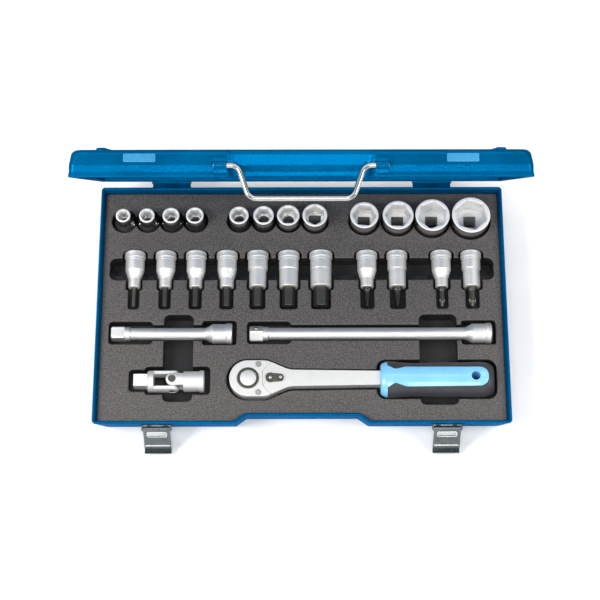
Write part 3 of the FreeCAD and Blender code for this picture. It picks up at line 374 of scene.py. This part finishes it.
def moved(part, matrix):
    verts, faces = part
    return [tuple(matrix @ Vector(v)) for v in verts], faces


ROUND = 120
TURNS = np.linspace(0, 2 * math.pi, ROUND, endpoint=False)


def level(radius, z):
    """A loop about Z; radius is one number or one for each of the ROUND directions."""
    radius = np.broadcast_to(radius, (ROUND,))
    return np.stack([radius * np.cos(TURNS), radius * np.sin(TURNS), np.full(ROUND, z)], axis=1)


def regular(sides, flats, turn=0.0, corner=0.97):
    """Radius of a regular polygon in each direction, its corners eased; turn 0 puts a flat towards +Y."""
    step = 2 * math.pi / sides
    away = (TURNS - math.pi / 2 - math.radians(turn) + step / 2) % step - step / 2
    sharp = flats / 2 / np.cos(away)
    return np.minimum(sharp, flats / 2 / math.cos(step / 2) * corner)


def arc_between(centre, start, end, steps):
    """Points round a centre from one arm to another of the same length."""
    return [centre + start.slerp(end, k / steps) * start.length for k in range(steps + 1)]


def rounded_profile(points, steps=3):
    """(radius, z) pairs from (radius, z, fillet) corners."""
    made = []
    for i, (r, z, fillet) in enumerate(points):
        here = Vector((r, z))
        if not fillet or i in (0, len(points) - 1):
            made.append((r, z))
            continue
        back = (Vector(points[i - 1][:2]) - here).normalized()
        ahead = (Vector(points[i + 1][:2]) - here).normalized()
        half = max(back.angle(ahead) / 2, 0.05)
        reach = fillet / math.tan(half)
        centre = here + (back + ahead).normalized() * (fillet / math.sin(half))
        start, end = here + back * reach - centre, here + ahead * reach - centre
        made += [tuple(at) for at in arc_between(centre, start, end, steps)]
    return made


def turned(points, steps=3):
    return [level(r, z) for r, z in rounded_profile(points, steps)]


def knurled(radius, z1, z2, depth, teeth_every=2, pitch=0.75):
    """Diamond knurling between two heights."""
    rows = max(2, round(abs(z2 - z1) / pitch))
    marks = np.arange(ROUND)
    made = []
    for row in range(rows + 1):
        fade = 0.0 if row in (0, rows) else 1.0
        high = ((marks // (teeth_every // 2) + row) % 2).astype(float)
        made.append(level(radius - depth * high * fade, z1 + (z2 - z1) * row / rows))
    return made


def outline(points, radii, steps=5):
    """A closed plan outline with rounded corners; as many corners always give as many points."""
    made = []
    count = len(points)
    for i in range(count):
        here = Vector(points[i])
        back = (Vector(points[i - 1]) - here).normalized()
        ahead = (Vector(points[(i + 1) % count]) - here).normalized()
        half = back.angle(ahead) / 2
        radius = max(radii[i], 0.02)
        reach = radius / math.tan(half)
        centre = here + (back + ahead).normalized() * (radius / math.sin(half))
        start, end = here + back * reach - centre, here + ahead * reach - centre
        made += [tuple(at) for at in arc_between(centre, start, end, steps)]
    return made


def drawn_in(points, distance):
    """A counter-clockwise outline moved inwards along its normals; distance may differ by point."""
    count = len(points)
    distances = np.broadcast_to(distance, (count,))
    made = []
    for i in range(count):
        here = Vector(points[i])
        a = here - Vector(points[i - 1])
        b = Vector(points[(i + 1) % count]) - here
        na = Vector((-a.y, a.x)).normalized()
        nb = Vector((-b.y, b.x)).normalized()
        normal = (na + nb).normalized()
        stretch = 1 / max(0.5, normal.dot(na))
        made.append(tuple(here + normal * float(distances[i]) * stretch))
    return made


def rounded_slab(points, low, high, top=0.5, bottom=0.5, steps=4, share=1.0):
    """A solid between two heights with rounded top and bottom edges; share scales the rounding by point."""
    share = np.broadcast_to(share, (len(points),))
    loops = []
    for radius, z, way, turns in ((bottom, low, -1, range(steps, -1, -1)), (top, high, 1, range(steps + 1))):
        for k in turns:
            turn = math.pi / 2 * k / steps
            inset = radius * share * (1 - math.cos(turn))
            drop = radius * share * (1 - math.sin(turn))
            plan = drawn_in(points, inset)
            loops.append([(x, y, z - way * d) for (x, y), d in zip(plan, drop)])
    return loft(loops)


def rectangle(half_x, half_y, corner, steps=4, centre=(0, 0)):
    x, y = centre
    points = [(x - half_x, y - half_y), (x + half_x, y - half_y),
              (x + half_x, y + half_y), (x - half_x, y + half_y)]
    return outline(points, [corner] * 4, steps)


def bent_path(points, bend, steps=10):
    points = [Vector(p) for p in points]
    made = [points[0]]
    for i in range(1, len(points) - 1):
        here = points[i]
        back, ahead = (points[i - 1] - here).normalized(), (points[i + 1] - here).normalized()
        half = back.angle(ahead) / 2
        reach = bend / math.tan(half)
        centre = here + (back + ahead).normalized() * (bend / math.sin(half))
        start, end = here + back * reach - centre, here + ahead * reach - centre
        made += arc_between(centre, start, end, steps)
    made.append(points[-1])
    return made


def divided(path, step):
    """The same path with points no further apart than step."""
    made = [path[0]]
    for a, b in zip(path, path[1:]):
        count = max(1, math.ceil((b - a).length / step))
        made += [a.lerp(b, k / count) for k in range(1, count + 1)]
    return made


def rectangle_loop(half_x, half_y, corner):
    """A closed path round a rectangle in the XY plane."""
    return [(x, y, 0.0) for x, y in rectangle(half_x, half_y, corner, 6)]


def rod(path, radius, sides=32, end_round=0.6, closed=False):
    """A round rod along a path, with eased ends unless the path is closed."""
    path = [Vector(p) for p in path]
    last = len(path) - 1
    if closed:
        tangents = [(path[(i + 1) % len(path)] - path[i - 1]).normalized() for i in range(len(path))]
    else:
        tangents = [(path[min(i + 1, last)] - path[max(i - 1, 0)]).normalized() for i in range(len(path))]
    side = Vector((0, 0, 1)) if closed else tangents[0].orthogonal().normalized()
    loops = []
    for i, (at, along) in enumerate(zip(path, tangents)):
        side = (side - along * side.dot(along)).normalized()
        up = along.cross(side)
        near_end = 1 - 0.3 * end_round / radius
        eased = [(end_round, 1.0), (end_round * 0.3, near_end), (0.0, 1 - end_round / radius)]
        if not closed and i == 0:
            ends = eased[::-1]
        elif not closed and i == last:
            ends = [(-shift, share) for shift, share in eased]
        else:
            ends = [(0.0, 1.0)]
        for shift, share in ends:
            loops.append([at + along * shift + (side * math.cos(t) + up * math.sin(t)) * radius * share
                          for t in np.linspace(0, 2 * math.pi, sides, endpoint=False)])
    return loft(loops, ring=closed)


def dressed(name, node, material, width=0.3, segments=2, crease=30.0, weight=None, stands_for=None, flat=1.0,
            inside=None):
    """A copy of a CAD node with clean flats and rounded edges; weight scales the rounding by edge.

    Faces that inside() picks are hidden inside the object and are left out."""
    mesh = frame["nodes"][node].data.copy()
    mesh.name = name
    if mesh.has_custom_normals:
        mesh.attributes.remove(mesh.attributes["custom_normal"])
    bm = bmesh.new()
    bm.from_mesh(mesh)
    bmesh.ops.remove_doubles(bm, verts=bm.verts, dist=2e-6)
    if inside:
        bmesh.ops.delete(bm, geom=[face for face in bm.faces if inside(face)], context="FACES")
    bmesh.ops.dissolve_limit(bm, angle_limit=math.radians(flat), verts=bm.verts, edges=bm.edges)
    layer = bm.edges.layers.float.new("bevel_weight_edge")
    for edge in bm.edges:
        if len(edge.link_faces) == 2 and edge.calc_face_angle() > math.radians(crease):
            edge[layer] = weight(edge) if weight else 1.0
    bm.to_mesh(mesh)
    bm.free()
    shade(mesh, crease)
    obj = bpy.data.objects.new(name, mesh)
    bpy.context.scene.collection.objects.link(obj)
    if width:
        bevel = obj.modifiers.new("Rounded", "BEVEL")
        bevel.width = width * MM
        bevel.segments = segments
        bevel.limit_method = "WEIGHT"
        bevel.harden_normals = False
    weighted = obj.modifiers.new("Weighted", "WEIGHTED_NORMAL")
    weighted.keep_sharp = True
    weighted.weight = 100
    return finish_piece(obj, node, material, stands_for)


# ---------------------------------------------------------------- the case
HEM = 3.2
HEM_HEIGHT = 7.0
GAUGE = 1.0
EDGE = 5.0
WIRE_RADIUS = 2.5
RIM_RECESS = 8.0
RECESS_HALF = 68.0
RIM_CORNER = 4.0
# at the end away from the rim: sides' inset, front's inset, depth of the hand recess, corner radius
BASE_FAR = (BASE_INSET, BASE_INSET, RIM_RECESS, RIM_CORNER)
LID_FAR = (LID_INSET, LID_INSET, 1.2, 9.0)
# the lid's wall steps out above its folded rim: (rise, inset)
JOGGLE = ((11.6, -1.2), (10.8, -1.16), (5.4, -0.04), (4.6, 0.0))


def pan_level(z, z_rim, z_end, far, extra, drawn):
    """The case outline at a height, between its shape at the rim and at the far end."""
    share = (z - z_rim) / (z_end - z_rim)
    recess = RIM_RECESS + (far[2] - RIM_RECESS) * share
    half_x = CASE_X - far[0] * share - extra - drawn
    half_y = CASE_Y - far[1] * share - extra - drawn
    outer = RECESS_HALF + drawn * 0.4
    inner = outer - recess - 3
    points = [(-half_x, -half_y), (-outer, -half_y), (-inner, -half_y + recess), (inner, -half_y + recess),
              (outer, -half_y), (half_x, -half_y), (half_x, half_y), (-half_x, half_y)]
    corner = RIM_CORNER + (far[3] - RIM_CORNER) * share - drawn
    radii = [corner, 3.0, 3.0, 3.0, 3.0, corner, corner, corner]
    return [(x, y, z) for x, y in outline(points, radii, 6)]


def pan(z_rim, z_end, far, steps=()):
    """A drawn sheet pan: floor, rounded bottom edge, wall, rolled hem, and the same again inside."""
    shift = steps[0][1] if steps else 0.0
    way = 1 if z_end > z_rim else -1

    def at(z, extra, drawn):
        return pan_level(z, z_rim, z_end, far, extra, drawn)

    loops = []
    for k in range(9, -1, -1):
        turn = math.pi / 2 * k / 9
        loops.append(at(z_end - way * EDGE * (1 - math.sin(turn)), shift + EDGE * (1 - math.cos(turn)), 0.0))
    for rise, inset in steps:
        loops.append(at(z_rim + way * rise, inset, 0.0))
    roll = HEM / 2
    for k in range(9):
        turn = math.pi * k / 8
        loops.append(at(z_rim + way * roll * (1 - math.sin(turn)), 0.0, roll * (1 - math.cos(turn))))
    hem_end = z_rim + way * HEM_HEIGHT
    loops.append(at(hem_end - way * 0.3, 0.0, HEM))
    loops.append(at(hem_end, 0.0, HEM - 0.3))
    loops.append(at(hem_end, 0.0, GAUGE))
    inner = EDGE - GAUGE
    for k in range(7):
        turn = math.pi / 2 * k / 6
        z = z_end - way * (GAUGE + inner * (1 - math.sin(turn)))
        loops.append(at(z, shift + inner * (1 - math.cos(turn)), GAUGE))
    return loft(loops)


def wall_place(slope, rise, x, place=None):
    """A frame on the front wall: its X along the case, its Y up the wall, its Z out of the wall."""
    lean = math.atan(slope)
    up = Vector((0, math.sin(lean), math.cos(lean)))
    out = Vector((0, -math.cos(lean), math.sin(lean)))
    at = Vector((x, -CASE_Y + slope * rise, RIM_Z + rise))
    here = Matrix((Vector((1, 0, 0)), up, out)).transposed().to_4x4()
    here.translation = at
    return (place or Matrix.Identity(4)) @ here


def make_case():
    verts, faces = pan(RIM_Z, 0.0, BASE_FAR)
    piece("case_base_pan", "case_base", BLUE, verts, faces)

    top = RIM_Z + LID_RISE
    verts, faces = pan(RIM_Z, top, LID_FAR, JOGGLE)
    piece("case_lid_pan", "case_lid", BLUE, verts, faces, LID_PLACE)
    field = rounded_slab(rectangle(173, 96, 12, 8), top - 0.3, top + 0.7, top=0.7, bottom=0.1)
    piece("lid_pressed_field", "case_lid", BLUE, *field, LID_PLACE, stands_for=[])
    ribs = []
    for side in (-1, 1):
        plan = rectangle(5, 106, 4.9, 8, (side * 184.5, 0))
        ribs.append(rounded_slab(plan, top - 0.5, top + 2.6, top=2.0, bottom=0.1, steps=6))
    piece("lid_stacking_ribs", "case_lid", BLUE, *join(*ribs), LID_PLACE, stands_for=[])
    keepers = []
    for side in (-1, 1):
        plate = rounded_slab(rectangle(14.75, 4.0, 1.2), -1.2, 1.8, top=0.7, bottom=0.1)
        keepers.append(moved(plate, wall_place(LID_SLOPE, 17.6, side * LATCH_X)))
    # the keepers take the lighter copy of the blue paint, a painted highlight
    piece("lid_keepers", "case_lid", BLUE_PAINT_PAINTED_HIGHLIGHT, *join(*keepers), LID_PLACE, stands_for=[])


def make_fittings():
    dressed("hinge_leaves_base", "hinge_base_leaves", BLUE, 0.25)
    dressed("hinge_leaves_lid", "hinge_lid_leaves", BLUE, 0.25)
    guards = [rounded_slab(rectangle(7.4, 3.8, 0.6, 4, (side * HINGE_X, CASE_Y + 3.4)), 37.6, 38.9, 0.4, 0.4)
              for side in (-1, 1)]
    piece("hinge_guards", "hinge_base_leaves", BLUE, *join(*guards), stands_for=[])
    dressed("hinge_pins_pair", "hinge_pins", ZINC_WITH_PAINTED_SHADE, 0.2)
    dressed("bracket_pair", "handle_brackets", BLUE, 0.3)
    dressed("latch_plate_pair", "latch_plates", ZINC_WITH_PAINTED_SHADE, 0.2)
    for side, way in (("left", -1), ("right", 1)):
        dressed(f"latch_spring_lever_{side}", f"latch_lever_{side}", ZINC_WITH_PAINTED_SHADE, 0.25)
        edge = rod(rectangle_loop(9.8, 3.4, 1.6), 0.55, 16, closed=True)
        centre = Matrix.Translation((way * LATCH_X, LATCH_Y + 2.2, LATCH_Z + 6.5))
        place = LATCH_PLACE @ centre @ Matrix.Rotation(math.pi / 2, 4, "X")
        bead = rod([(-12.7, 16.5, 0.0), (12.7, 16.5, 0.0)], 0.8, 20)
        piece(f"latch_window_edge_{side}", f"latch_lever_{side}", BLASTED, *join(edge, bead), place,
              crease=60.0, stands_for=[])

    lean = math.atan(LID_SLOPE)
    rise = 10.8
    y0 = -CASE_Y + LID_SLOPE * rise - WIRE_RADIUS - 1.3
    z0 = RIM_Z + rise

    def at(x, down):
        return (x, y0 - down * math.sin(lean), z0 - down * math.cos(lean))

    route = [at(-80, 0), at(-57.5, 0), at(-47, 30.5), at(47, 30.5), at(57.5, 0), at(80, 0)]
    wire = rod(divided(bent_path(route, 9.5), 1.5), WIRE_RADIUS)
    piece("handle_wire", "carrying_handle", WIRE, *wire, LID_PLACE, crease=60.0)


def make_insert():
    """The CAD keeps the moulding as four solids; the faces where they meet are taken out."""
    seams = ((1, 67.0), (1, -7.6), (1, -50.0), (0, -62.0), (0, -86.0))

    def inside(face):
        centre = face.calc_center_median() / MM
        return any(abs(face.normal[axis]) > 0.999 and abs(centre[axis] - at) < 0.01 for axis, at in seams)

    dressed("insert_tray", "tool_insert", INSERT, 0.0, crease=40.0, flat=0.2, inside=inside)


# ---------------------------------------------------------------- sockets
# across flats: mouth diameter, turn of the hexagon in degrees
MOUTHS = {10: (15.4, 0), 11: (16.4, 0), 12: (17.8, 0), 13: (18.6, 0), 14: (20.4, 4), 15: (21.6, 0),
          17: (23.8, 0), 19: (26.2, 30), 22: (30.0, -5), 24: (32.6, -3), 27: (36.3, 20), 30: (40.4, -18)}
DRIVE_HOLE = regular(4, 12.9)
DRIVE_RADIUS = 11.25
DRIVE_DEPTH = 16.0


def make_socket(flats):
    node = f"socket_{flats}mm"
    mouth, turn = MOUTHS[flats]
    low, high = box(node)
    length = high.z - low.z
    rim = mouth / 2
    if mouth < 2 * DRIVE_RADIUS + 1.5:
        foot, start, end = DRIVE_RADIUS, 0.45, 0.62
    else:
        foot, start, end = min(rim - 1.2, 15.0), 0.34, 0.5
    depth = 16.0 if flats < 20 else 20.0
    square_top = DRIVE_DEPTH if flats < 19 else length - depth + 1
    hole = min(flats / 2 - 1.2, 6.0)
    hexagon = regular(6, flats, turn)
    entry = min(flats / math.sqrt(3) + 0.25, rim - 1.0)
    loops = [level(DRIVE_HOLE + 0.5, 0.0)]
    loops += turned([
        (foot - 3.0, 0, 0), (foot, 0, 0.9), (foot, 4.2, 0.15), (foot - 0.35, 4.5, 0.1),
        (foot - 0.35, 5.9, 0.1), (foot, 6.2, 0.15), (foot, length * start, 3.0), (rim, length * end, 3.0),
        (rim, length, 0.9), (entry, length, 0),
    ])
    outside = len(loops) - 4
    loops.append(level(np.minimum(hexagon + 0.45, entry - 0.12), length - 0.5))
    loops += [level(hexagon, length - 1.3), level(hexagon, length - depth + 0.3),
              level(hexagon - 0.3, length - depth)]
    if square_top < length - depth - 0.5:
        loops += [level(hole + 0.4, length - depth), level(hole, length - depth - 0.4),
                  level(hole, square_top + 0.1)]
        loops.append(level(DRIVE_HOLE, square_top))
    else:
        loops.append(level(np.minimum(DRIVE_HOLE, hexagon - 0.5), length - depth))
    loops.append(level(DRIVE_HOLE, 0.6))
    x, y = middle(node).x, middle(node).y
    verts, faces = loft(loops, ring=True)
    marks = np.repeat([0.0] * outside + [2.0] * 6 + [1.0] * (len(loops) - outside - 6), ROUND)
    piece(f"socket_{flats}", node, SOCKET, verts, faces, Matrix.Translation((x, y, low.z)), broached=marks)


# ---------------------------------------------------------------- bit sockets
# name: front sleeve diameter, kind of tip, size of tip
BITS = {
    "hex_5": (12.6, "hex", 5.0), "hex_6": (12.8, "hex", 6.0), "hex_7": (13.6, "hex", 7.0),
    "hex_8": (14.6, "hex", 8.0), "hex_10": (17.8, "hex", 10.0), "hex_12": (19.6, "hex", 12.0),
    "hex_14": (21.8, "hex", 14.0), "slot_8": (13.6, "slot", 8.0), "slot_10": (17.6, "slot", 10.0),
    "cross_2": (13.4, "cross", 6.0), "cross_3": (17.6, "cross", 8.0),
}
HOLDER = 39.3
REACH = 21.0


def lying(node):
    """Modelled along +Z, laid down to point at the front."""
    at = Matrix.Translation((middle(node).x, box(node)[1].y, TOOL_AXIS))
    return at @ Matrix.Rotation(math.pi / 2, 4, "X")


def make_holder(name):
    node = f"bit_holder_{name}"
    sleeve, kind, tip = BITS[name]
    place = lying(node)
    low, high = box(node)
    collar = (high.x - low.x) / 2
    waist, front = collar - 1.1, sleeve / 2
    slim = front < waist - 1.5
    start, end = (20.0, 28.0) if slim else (19.0, 20.0)
    bit_flats = tip if kind == "hex" else (8.0 if sleeve < 15 else 10.0)
    bore = regular(6, bit_flats + 0.06)
    loops = [level(bore, HOLDER - 18.0), level(bore, HOLDER - 0.7), level(bore + 0.4, HOLDER)]
    front_end = [(front - 1.2, HOLDER, 0), (front, HOLDER, 0.9)]
    if slim:
        front_end += [(front, end + 0.4, 2.5), (front + 0.9, end - 0.2, 0.4), (waist, start, 2.5)]
    else:
        front_end += [(front, end, 0.4), (waist, start, 0.4)]
    front_end += [(waist, 10.4, 0.1), (waist - 0.3, 10.1, 0.05), (waist - 0.3, 9.5, 0.05), (waist, 9.2, 0.1),
                  (waist, 6.9, 0.3), (collar - 0.2, 6.2, 0.15), (collar - 0.2, 6.0, 0)]
    loops += turned(front_end)
    loops += knurled(collar, 5.9, 1.1, 0.32)
    loops += turned([(collar - 0.2, 1.0, 0), (collar - 0.8, 0, 0.4), (10.0, 0, 0)])
    loops += [level(DRIVE_HOLE + 0.5, 0.0), level(DRIVE_HOLE, 0.6), level(DRIVE_HOLE, DRIVE_DEPTH)]
    verts, faces = loft(loops)
    piece(f"holder_{name}", node, SATIN, verts, faces, place)


def blade(half_width, half_thickness):
    """A round bar flattened on two sides."""
    return np.minimum(half_width, half_thickness / np.maximum(np.abs(np.cos(TURNS)), 1e-6))


def fluted(radius, tip, groove):
    """A round tip with four V grooves; groove is how far out the grooves begin."""
    away = TURNS % (math.pi / 2) - math.pi / 4
    steep = 0.72 * tip / (tip - groove)
    room = steep * np.cos(away) - np.sin(np.abs(away))
    return np.minimum(radius, np.where(room > 0.05, steep * groove / np.maximum(room, 0.05), radius))


def make_bit(name):
    node = f"bit_{name}"
    sleeve, kind, tip = BITS[name]
    end = HOLDER + REACH
    if kind == "hex":
        shape = regular(6, tip, corner=0.985)
        loops = [level(shape, HOLDER - 17.5), level(shape, end - 0.7), level(shape - 0.12, end - 0.35),
                 level(np.minimum(shape - 0.5, tip / 2), end)]
    else:
        flats = 8.0 if sleeve < 15 else 10.0
        shank = regular(6, flats, corner=0.985)
        loops = [level(shank, HOLDER - 17.5), level(shank, HOLDER + 2.2),
                 level(np.minimum(shank, flats / 2), HOLDER + 3.0)]
        if kind == "slot":
            neck = tip * 0.31
            stations = [(3.6, 0.96 * flats / 2, 9.0), (5.0, neck, 9.0), (7.6, neck, neck + 0.1),
                        (10.0, neck * 1.12, 0.9 * neck)]
            for k in range(1, 7):
                share = k / 6
                half = neck * 1.12 + (tip / 2 - neck * 1.12) * min(1.0, share * 1.5)
                stations.append((10.0 + 9.5 * share, half, 0.9 * neck + (0.6 - 0.9 * neck) * share))
            stations += [(REACH - 0.25, tip / 2, 0.6), (REACH, tip / 2 - 0.2, 0.5)]
            loops += [level(blade(wide, thick), HOLDER + z) for z, wide, thick in stations]
        else:
            radius = tip / 2
            loops += [level(radius, HOLDER + 4.6), level(radius, HOLDER + REACH - 9.4)]
            for k in range(9):
                share = k / 8
                groove = tip * (0.6 - 0.447 * min(1.0, share * 2.2))
                z = REACH - 9.0 + 9.0 * share
                cone = radius if z < REACH - 5.5 else radius - (radius - tip * 0.18) * (z - REACH + 5.5) / 5.5
                loops.append(level(fluted(cone, tip, groove), HOLDER + z))
    verts, faces = loft(loops)
    piece(f"tip_{name}", node, DARK_STEEL, verts, faces, lying(f"bit_holder_{name}"), crease=24.0)


# ---------------------------------------------------------------- bars and universal joint
def pointing(x, y, z, spin=0.0):
    """Modelled along +Z, laid down to point to +X and turned about its own axis."""
    laid_down = Matrix.Translation((x, y, z)) @ Matrix.Rotation(math.pi / 2, 4, "Y")
    return laid_down @ Matrix.Rotation(math.radians(spin), 4, "Z")


SQUARE = regular(4, 12.6, corner=0.93)


def square_end(length):
    """Loops of a drive square from its chamfered tip to its root."""
    loops = [level(np.minimum(SQUARE - 1.2, 6.6), 0.0), level(np.minimum(SQUARE - 0.35, 7.4), 0.45)]
    loops += [level(SQUARE, 1.3), level(SQUARE, length)]
    return loops


def make_bar(name, node, spin):
    low, high = box(node)
    total = high.x - low.x
    at = middle(node)
    place = pointing(low.x, at.y, TOOL_AXIS, spin)
    loops = square_end(13.9)
    loops += turned([(6.9, 14.0, 0), (7.2, 14.6, 0.3), (7.2, 19.0, 0.4), (6.3, 20.5, 0.6),
                     (6.3, total - 27, 8.0), (10.3, total - 20, 3.0), (10.3, total - 6.4, 0.2),
                     (10.75, total - 5.7, 0.1), (10.8, total - 5.5, 0)], 4)
    loops += knurled(11.0, total - 5.4, total - 1.2, 0.35)
    loops += turned([(10.75, total - 1.1, 0), (10.2, total, 0.3), (9.5, total, 0)])
    loops += [level(DRIVE_HOLE + 0.5, total), level(DRIVE_HOLE, total - 0.6),
              level(DRIVE_HOLE, total - DRIVE_DEPTH)]
    verts, faces = loft(loops)
    piece(name, node, BRUSHED_X, verts, faces, place)
    detent(name + "_detent", node, place)


def detent(name, node, square):
    """A sprung ball staked into one face of the drive square that is modelled at square."""
    place = square @ Matrix.Translation((0, 6.3, 7.0)) @ Matrix.Rotation(-math.pi / 2, 4, "X")
    ball = turned([(0.02, 1.05, 0), (0.8, 0.93, 0), (1.35, 0.6, 0), (1.7, 0.12, 0), (1.9, -0.4, 0),
                   (1.9, -1.5, 0)])
    stake = turned([(2.0, -0.6, 0), (2.02, 0.06, 0.02), (2.25, 0.12, 0.05), (2.5, 0.1, 0.05), (2.6, -0.3, 0)])
    piece(name, node, CHROME, *join(loft(ball), loft(stake)), place, crease=40.0, stands_for=[])


def make_universal_joint():
    dressed("joint_drive_fork", "uj_drive_fork", SATIN, 0.45, 3)
    dressed("joint_socket_fork", "uj_socket_fork", SATIN, 0.45, 3)
    dressed("joint_cross_block", "uj_cross", DARK_STEEL, 0.35, 3)
    low = box("uj_drive_fork")[0]
    place = pointing(low.x, middle("uj_drive_fork").y, TOOL_AXIS)
    end = box("uj_socket_fork")[1].x - low.x
    radius = (box("uj_socket_fork")[1].z - box("uj_socket_fork")[0].z) / 2
    collar = [level(radius - 0.4, end - 4.5), level(radius + 0.15, end - 4.2)]
    collar += knurled(radius + 0.15, end - 4.1, end - 1.3, 0.3)
    collar += [level(radius + 0.05, end - 1.1), level(radius - 0.4, end - 0.8)]
    lines = [loft([level(radius - 1.0, at - 0.3), level(radius - 0.58, at - 0.12),
                   level(radius - 0.58, at + 0.12), level(radius - 1.0, at + 0.3)], False, False)
             for at in (end - 9.5, end - 11.5, end - 13.5)]
    rings = join(loft(collar, False, False), *lines)
    piece("joint_rings", "uj_socket_fork", SATIN, *rings, place, stands_for=[])
    detent("joint_detent", "uj_drive_fork", place)


# ---------------------------------------------------------------- ratchet
def make_ratchet():
    def handle_weight(edge):
        """Outside edges are rounded more than the cover's seam and the holes."""
        mid = (edge.verts[0].co + edge.verts[1].co) / 2 / MM
        x, y = mid.x - HEAD.x, abs(mid.y - HEAD.y)
        if math.hypot(x, y) < 14 or math.hypot(x - 10.6, y - 15.1) < 4.0 or math.hypot(x - 22.8, y) < 4.5:
            return 0.2
        seam = 14.8 + max(0.0, y - 7.5) * 0.88
        return 0.26 if abs(x - seam) < 1.1 and y < 17.5 and mid.z > HEAD_TOP - 8 else 1.0

    dressed("ratchet_forging", "ratchet_handle", SATIN, 1.6, 4, weight=handle_weight)
    dressed("ratchet_cover_plate", "ratchet_cover", SATIN, 1.2, 4, weight=handle_weight)
    dressed("ratchet_screws", "cover_screws", SCREW, 0.15)
    dressed("ratchet_drive_square", "ratchet_drive", CHROME, 0.5, 3)
    dressed("ratchet_button", "release_button", SATIN, 0.5, 3)
    dressed("ratchet_lever", "reversing_lever", DARK_STEEL, 0.45, 3)
    hub = turned([(8.35, -2.0, 0), (8.35, -0.25, 0.15), (9.6, -0.02, 0.3), (11.05, -0.25, 0.15),
                  (11.05, -2.0, 0)])
    piece("ratchet_dark_ring", "ratchet_drive", DARK_STEEL, *loft(hub, ring=True),
          Matrix.Translation((HEAD.x, HEAD.y, HEAD_TOP)), stands_for=[])
    bumps = [moved(loft(turned([(0.02, 0.75, 0), (1.1, 0.55, 0.3), (1.75, 0.0, 0.1), (1.75, -1.0, 0)])),
                   Matrix.Translation((HEAD.x + 22.8 + along, HEAD.y, HEAD_TOP + up)))
             for along, up in ((0.0, 2.4), (10.4, 3.2))]
    piece("lever_rivets", "reversing_lever", BLASTED, *join(*bumps), crease=40.0, stands_for=[])
    dressed("grip_light_core", "grip_core", LIGHT_GRIP, 0.5, 3)
    dressed("grip_dark_shell", "grip_shell", DARK_GRIP, 0.35, 3)


# ---------------------------------------------------------------- camera, floor and light
def make_camera():
    """The product view: from the front and high above."""
    yaw, pitch, roll = (math.radians(a) for a in (0.61, 69.08, 0.46))
    forward = Vector((math.sin(yaw) * math.cos(pitch), math.cos(yaw) * math.cos(pitch), -math.sin(pitch)))
    level_right = Vector((math.cos(yaw), -math.sin(yaw), 0))
    level_up = level_right.cross(forward)
    right = level_right * math.cos(roll) + level_up * math.sin(roll)
    up = level_up * math.cos(roll) - level_right * math.sin(roll)
    camera = bpy.data.objects.new("Camera", bpy.data.cameras.new("Camera"))
    camera.data.sensor_width = 36.0
    camera.data.lens = 102.85
    camera.data.shift_x = -0.018
    camera.data.clip_start = 0.05
    camera.matrix_world = Matrix((right, up, -forward)).transposed().to_4x4()
    camera.location = (0.0025, -0.6312, 1.6987)
    bpy.context.scene.collection.objects.link(camera)
    bpy.context.scene.camera = camera


def area_light(name, place, target, size, power, tint=(1.0, 1.0, 1.0)):
    data = bpy.data.lights.new(name, "AREA")
    data.shape = "RECTANGLE"
    data.size, data.size_y = size
    data.energy = power
    data.color = tint
    lamp = bpy.data.objects.new(name, data)
    lamp.location = place
    lamp.rotation_euler = (Vector(target) - Vector(place)).to_track_quat("-Z", "Y").to_euler()
    bpy.context.scene.collection.objects.link(lamp)


def make_studio():
    """A plain pale floor under large soft lights."""
    material = Surface("studio_floor", Roughness=0.75, Specular_IOR_Level=0.2)
    grain = material.noise(25, 3.0)
    share = material.ranged(grain, 0.3, 0.7, 0.0, 1.0)
    material.colour(material.blend(share, rgb(0.92, 0.92, 0.92), rgb(0.94, 0.94, 0.94)))
    mesh = bpy.data.meshes.new("floor")
    reach = 6.0
    corners = [(-reach, -reach, 0), (reach, -reach, 0), (reach, reach, 0), (-reach, reach, 0)]
    mesh.from_pydata(corners, [], [(0, 1, 2, 3)])
    mesh.materials.append(material.material)
    floor = bpy.data.objects.new("floor", mesh)
    bpy.context.scene.collection.objects.link(floor)

    world = bpy.data.worlds.new("studio")
    world.use_nodes = True
    world.node_tree.nodes["Background"].inputs["Color"].default_value = rgb(1.0, 1.0, 1.0)
    world.node_tree.nodes["Background"].inputs["Strength"].default_value = 0.42
    bpy.context.scene.world = world
    area_light("overhead", (0.0, 0.85, 1.75), (0, 0, 0), (2.4, 0.95), 13)
    area_light("key", (-1.3, -0.5, 1.6), (0, 0, 0), (0.7, 0.7), 28)
    area_light("fill", (1.4, -0.4, 1.5), (0, 0, 0), (0.8, 0.8), 14)
    area_light("front", (0.0, -1.7, 0.7), (0, 0, 0.05), (1.8, 0.4), 5)
    area_light("lid_front", (0.0, -0.95, 1.9), (0, 0.05, 0.25), (0.8, 0.7), 12)
    bpy.context.scene.view_settings.view_transform = "Standard"


make_case()
make_fittings()
make_insert()
for across in MOUTHS:
    make_socket(across)
for bit in BITS:
    make_holder(bit)
    make_bit(bit)
make_bar("bar_long", "extension_bar_long", 45.0)
make_bar("bar_short", "extension_bar_short", 0.0)
make_universal_joint()
make_ratchet()
make_camera()
make_studio()
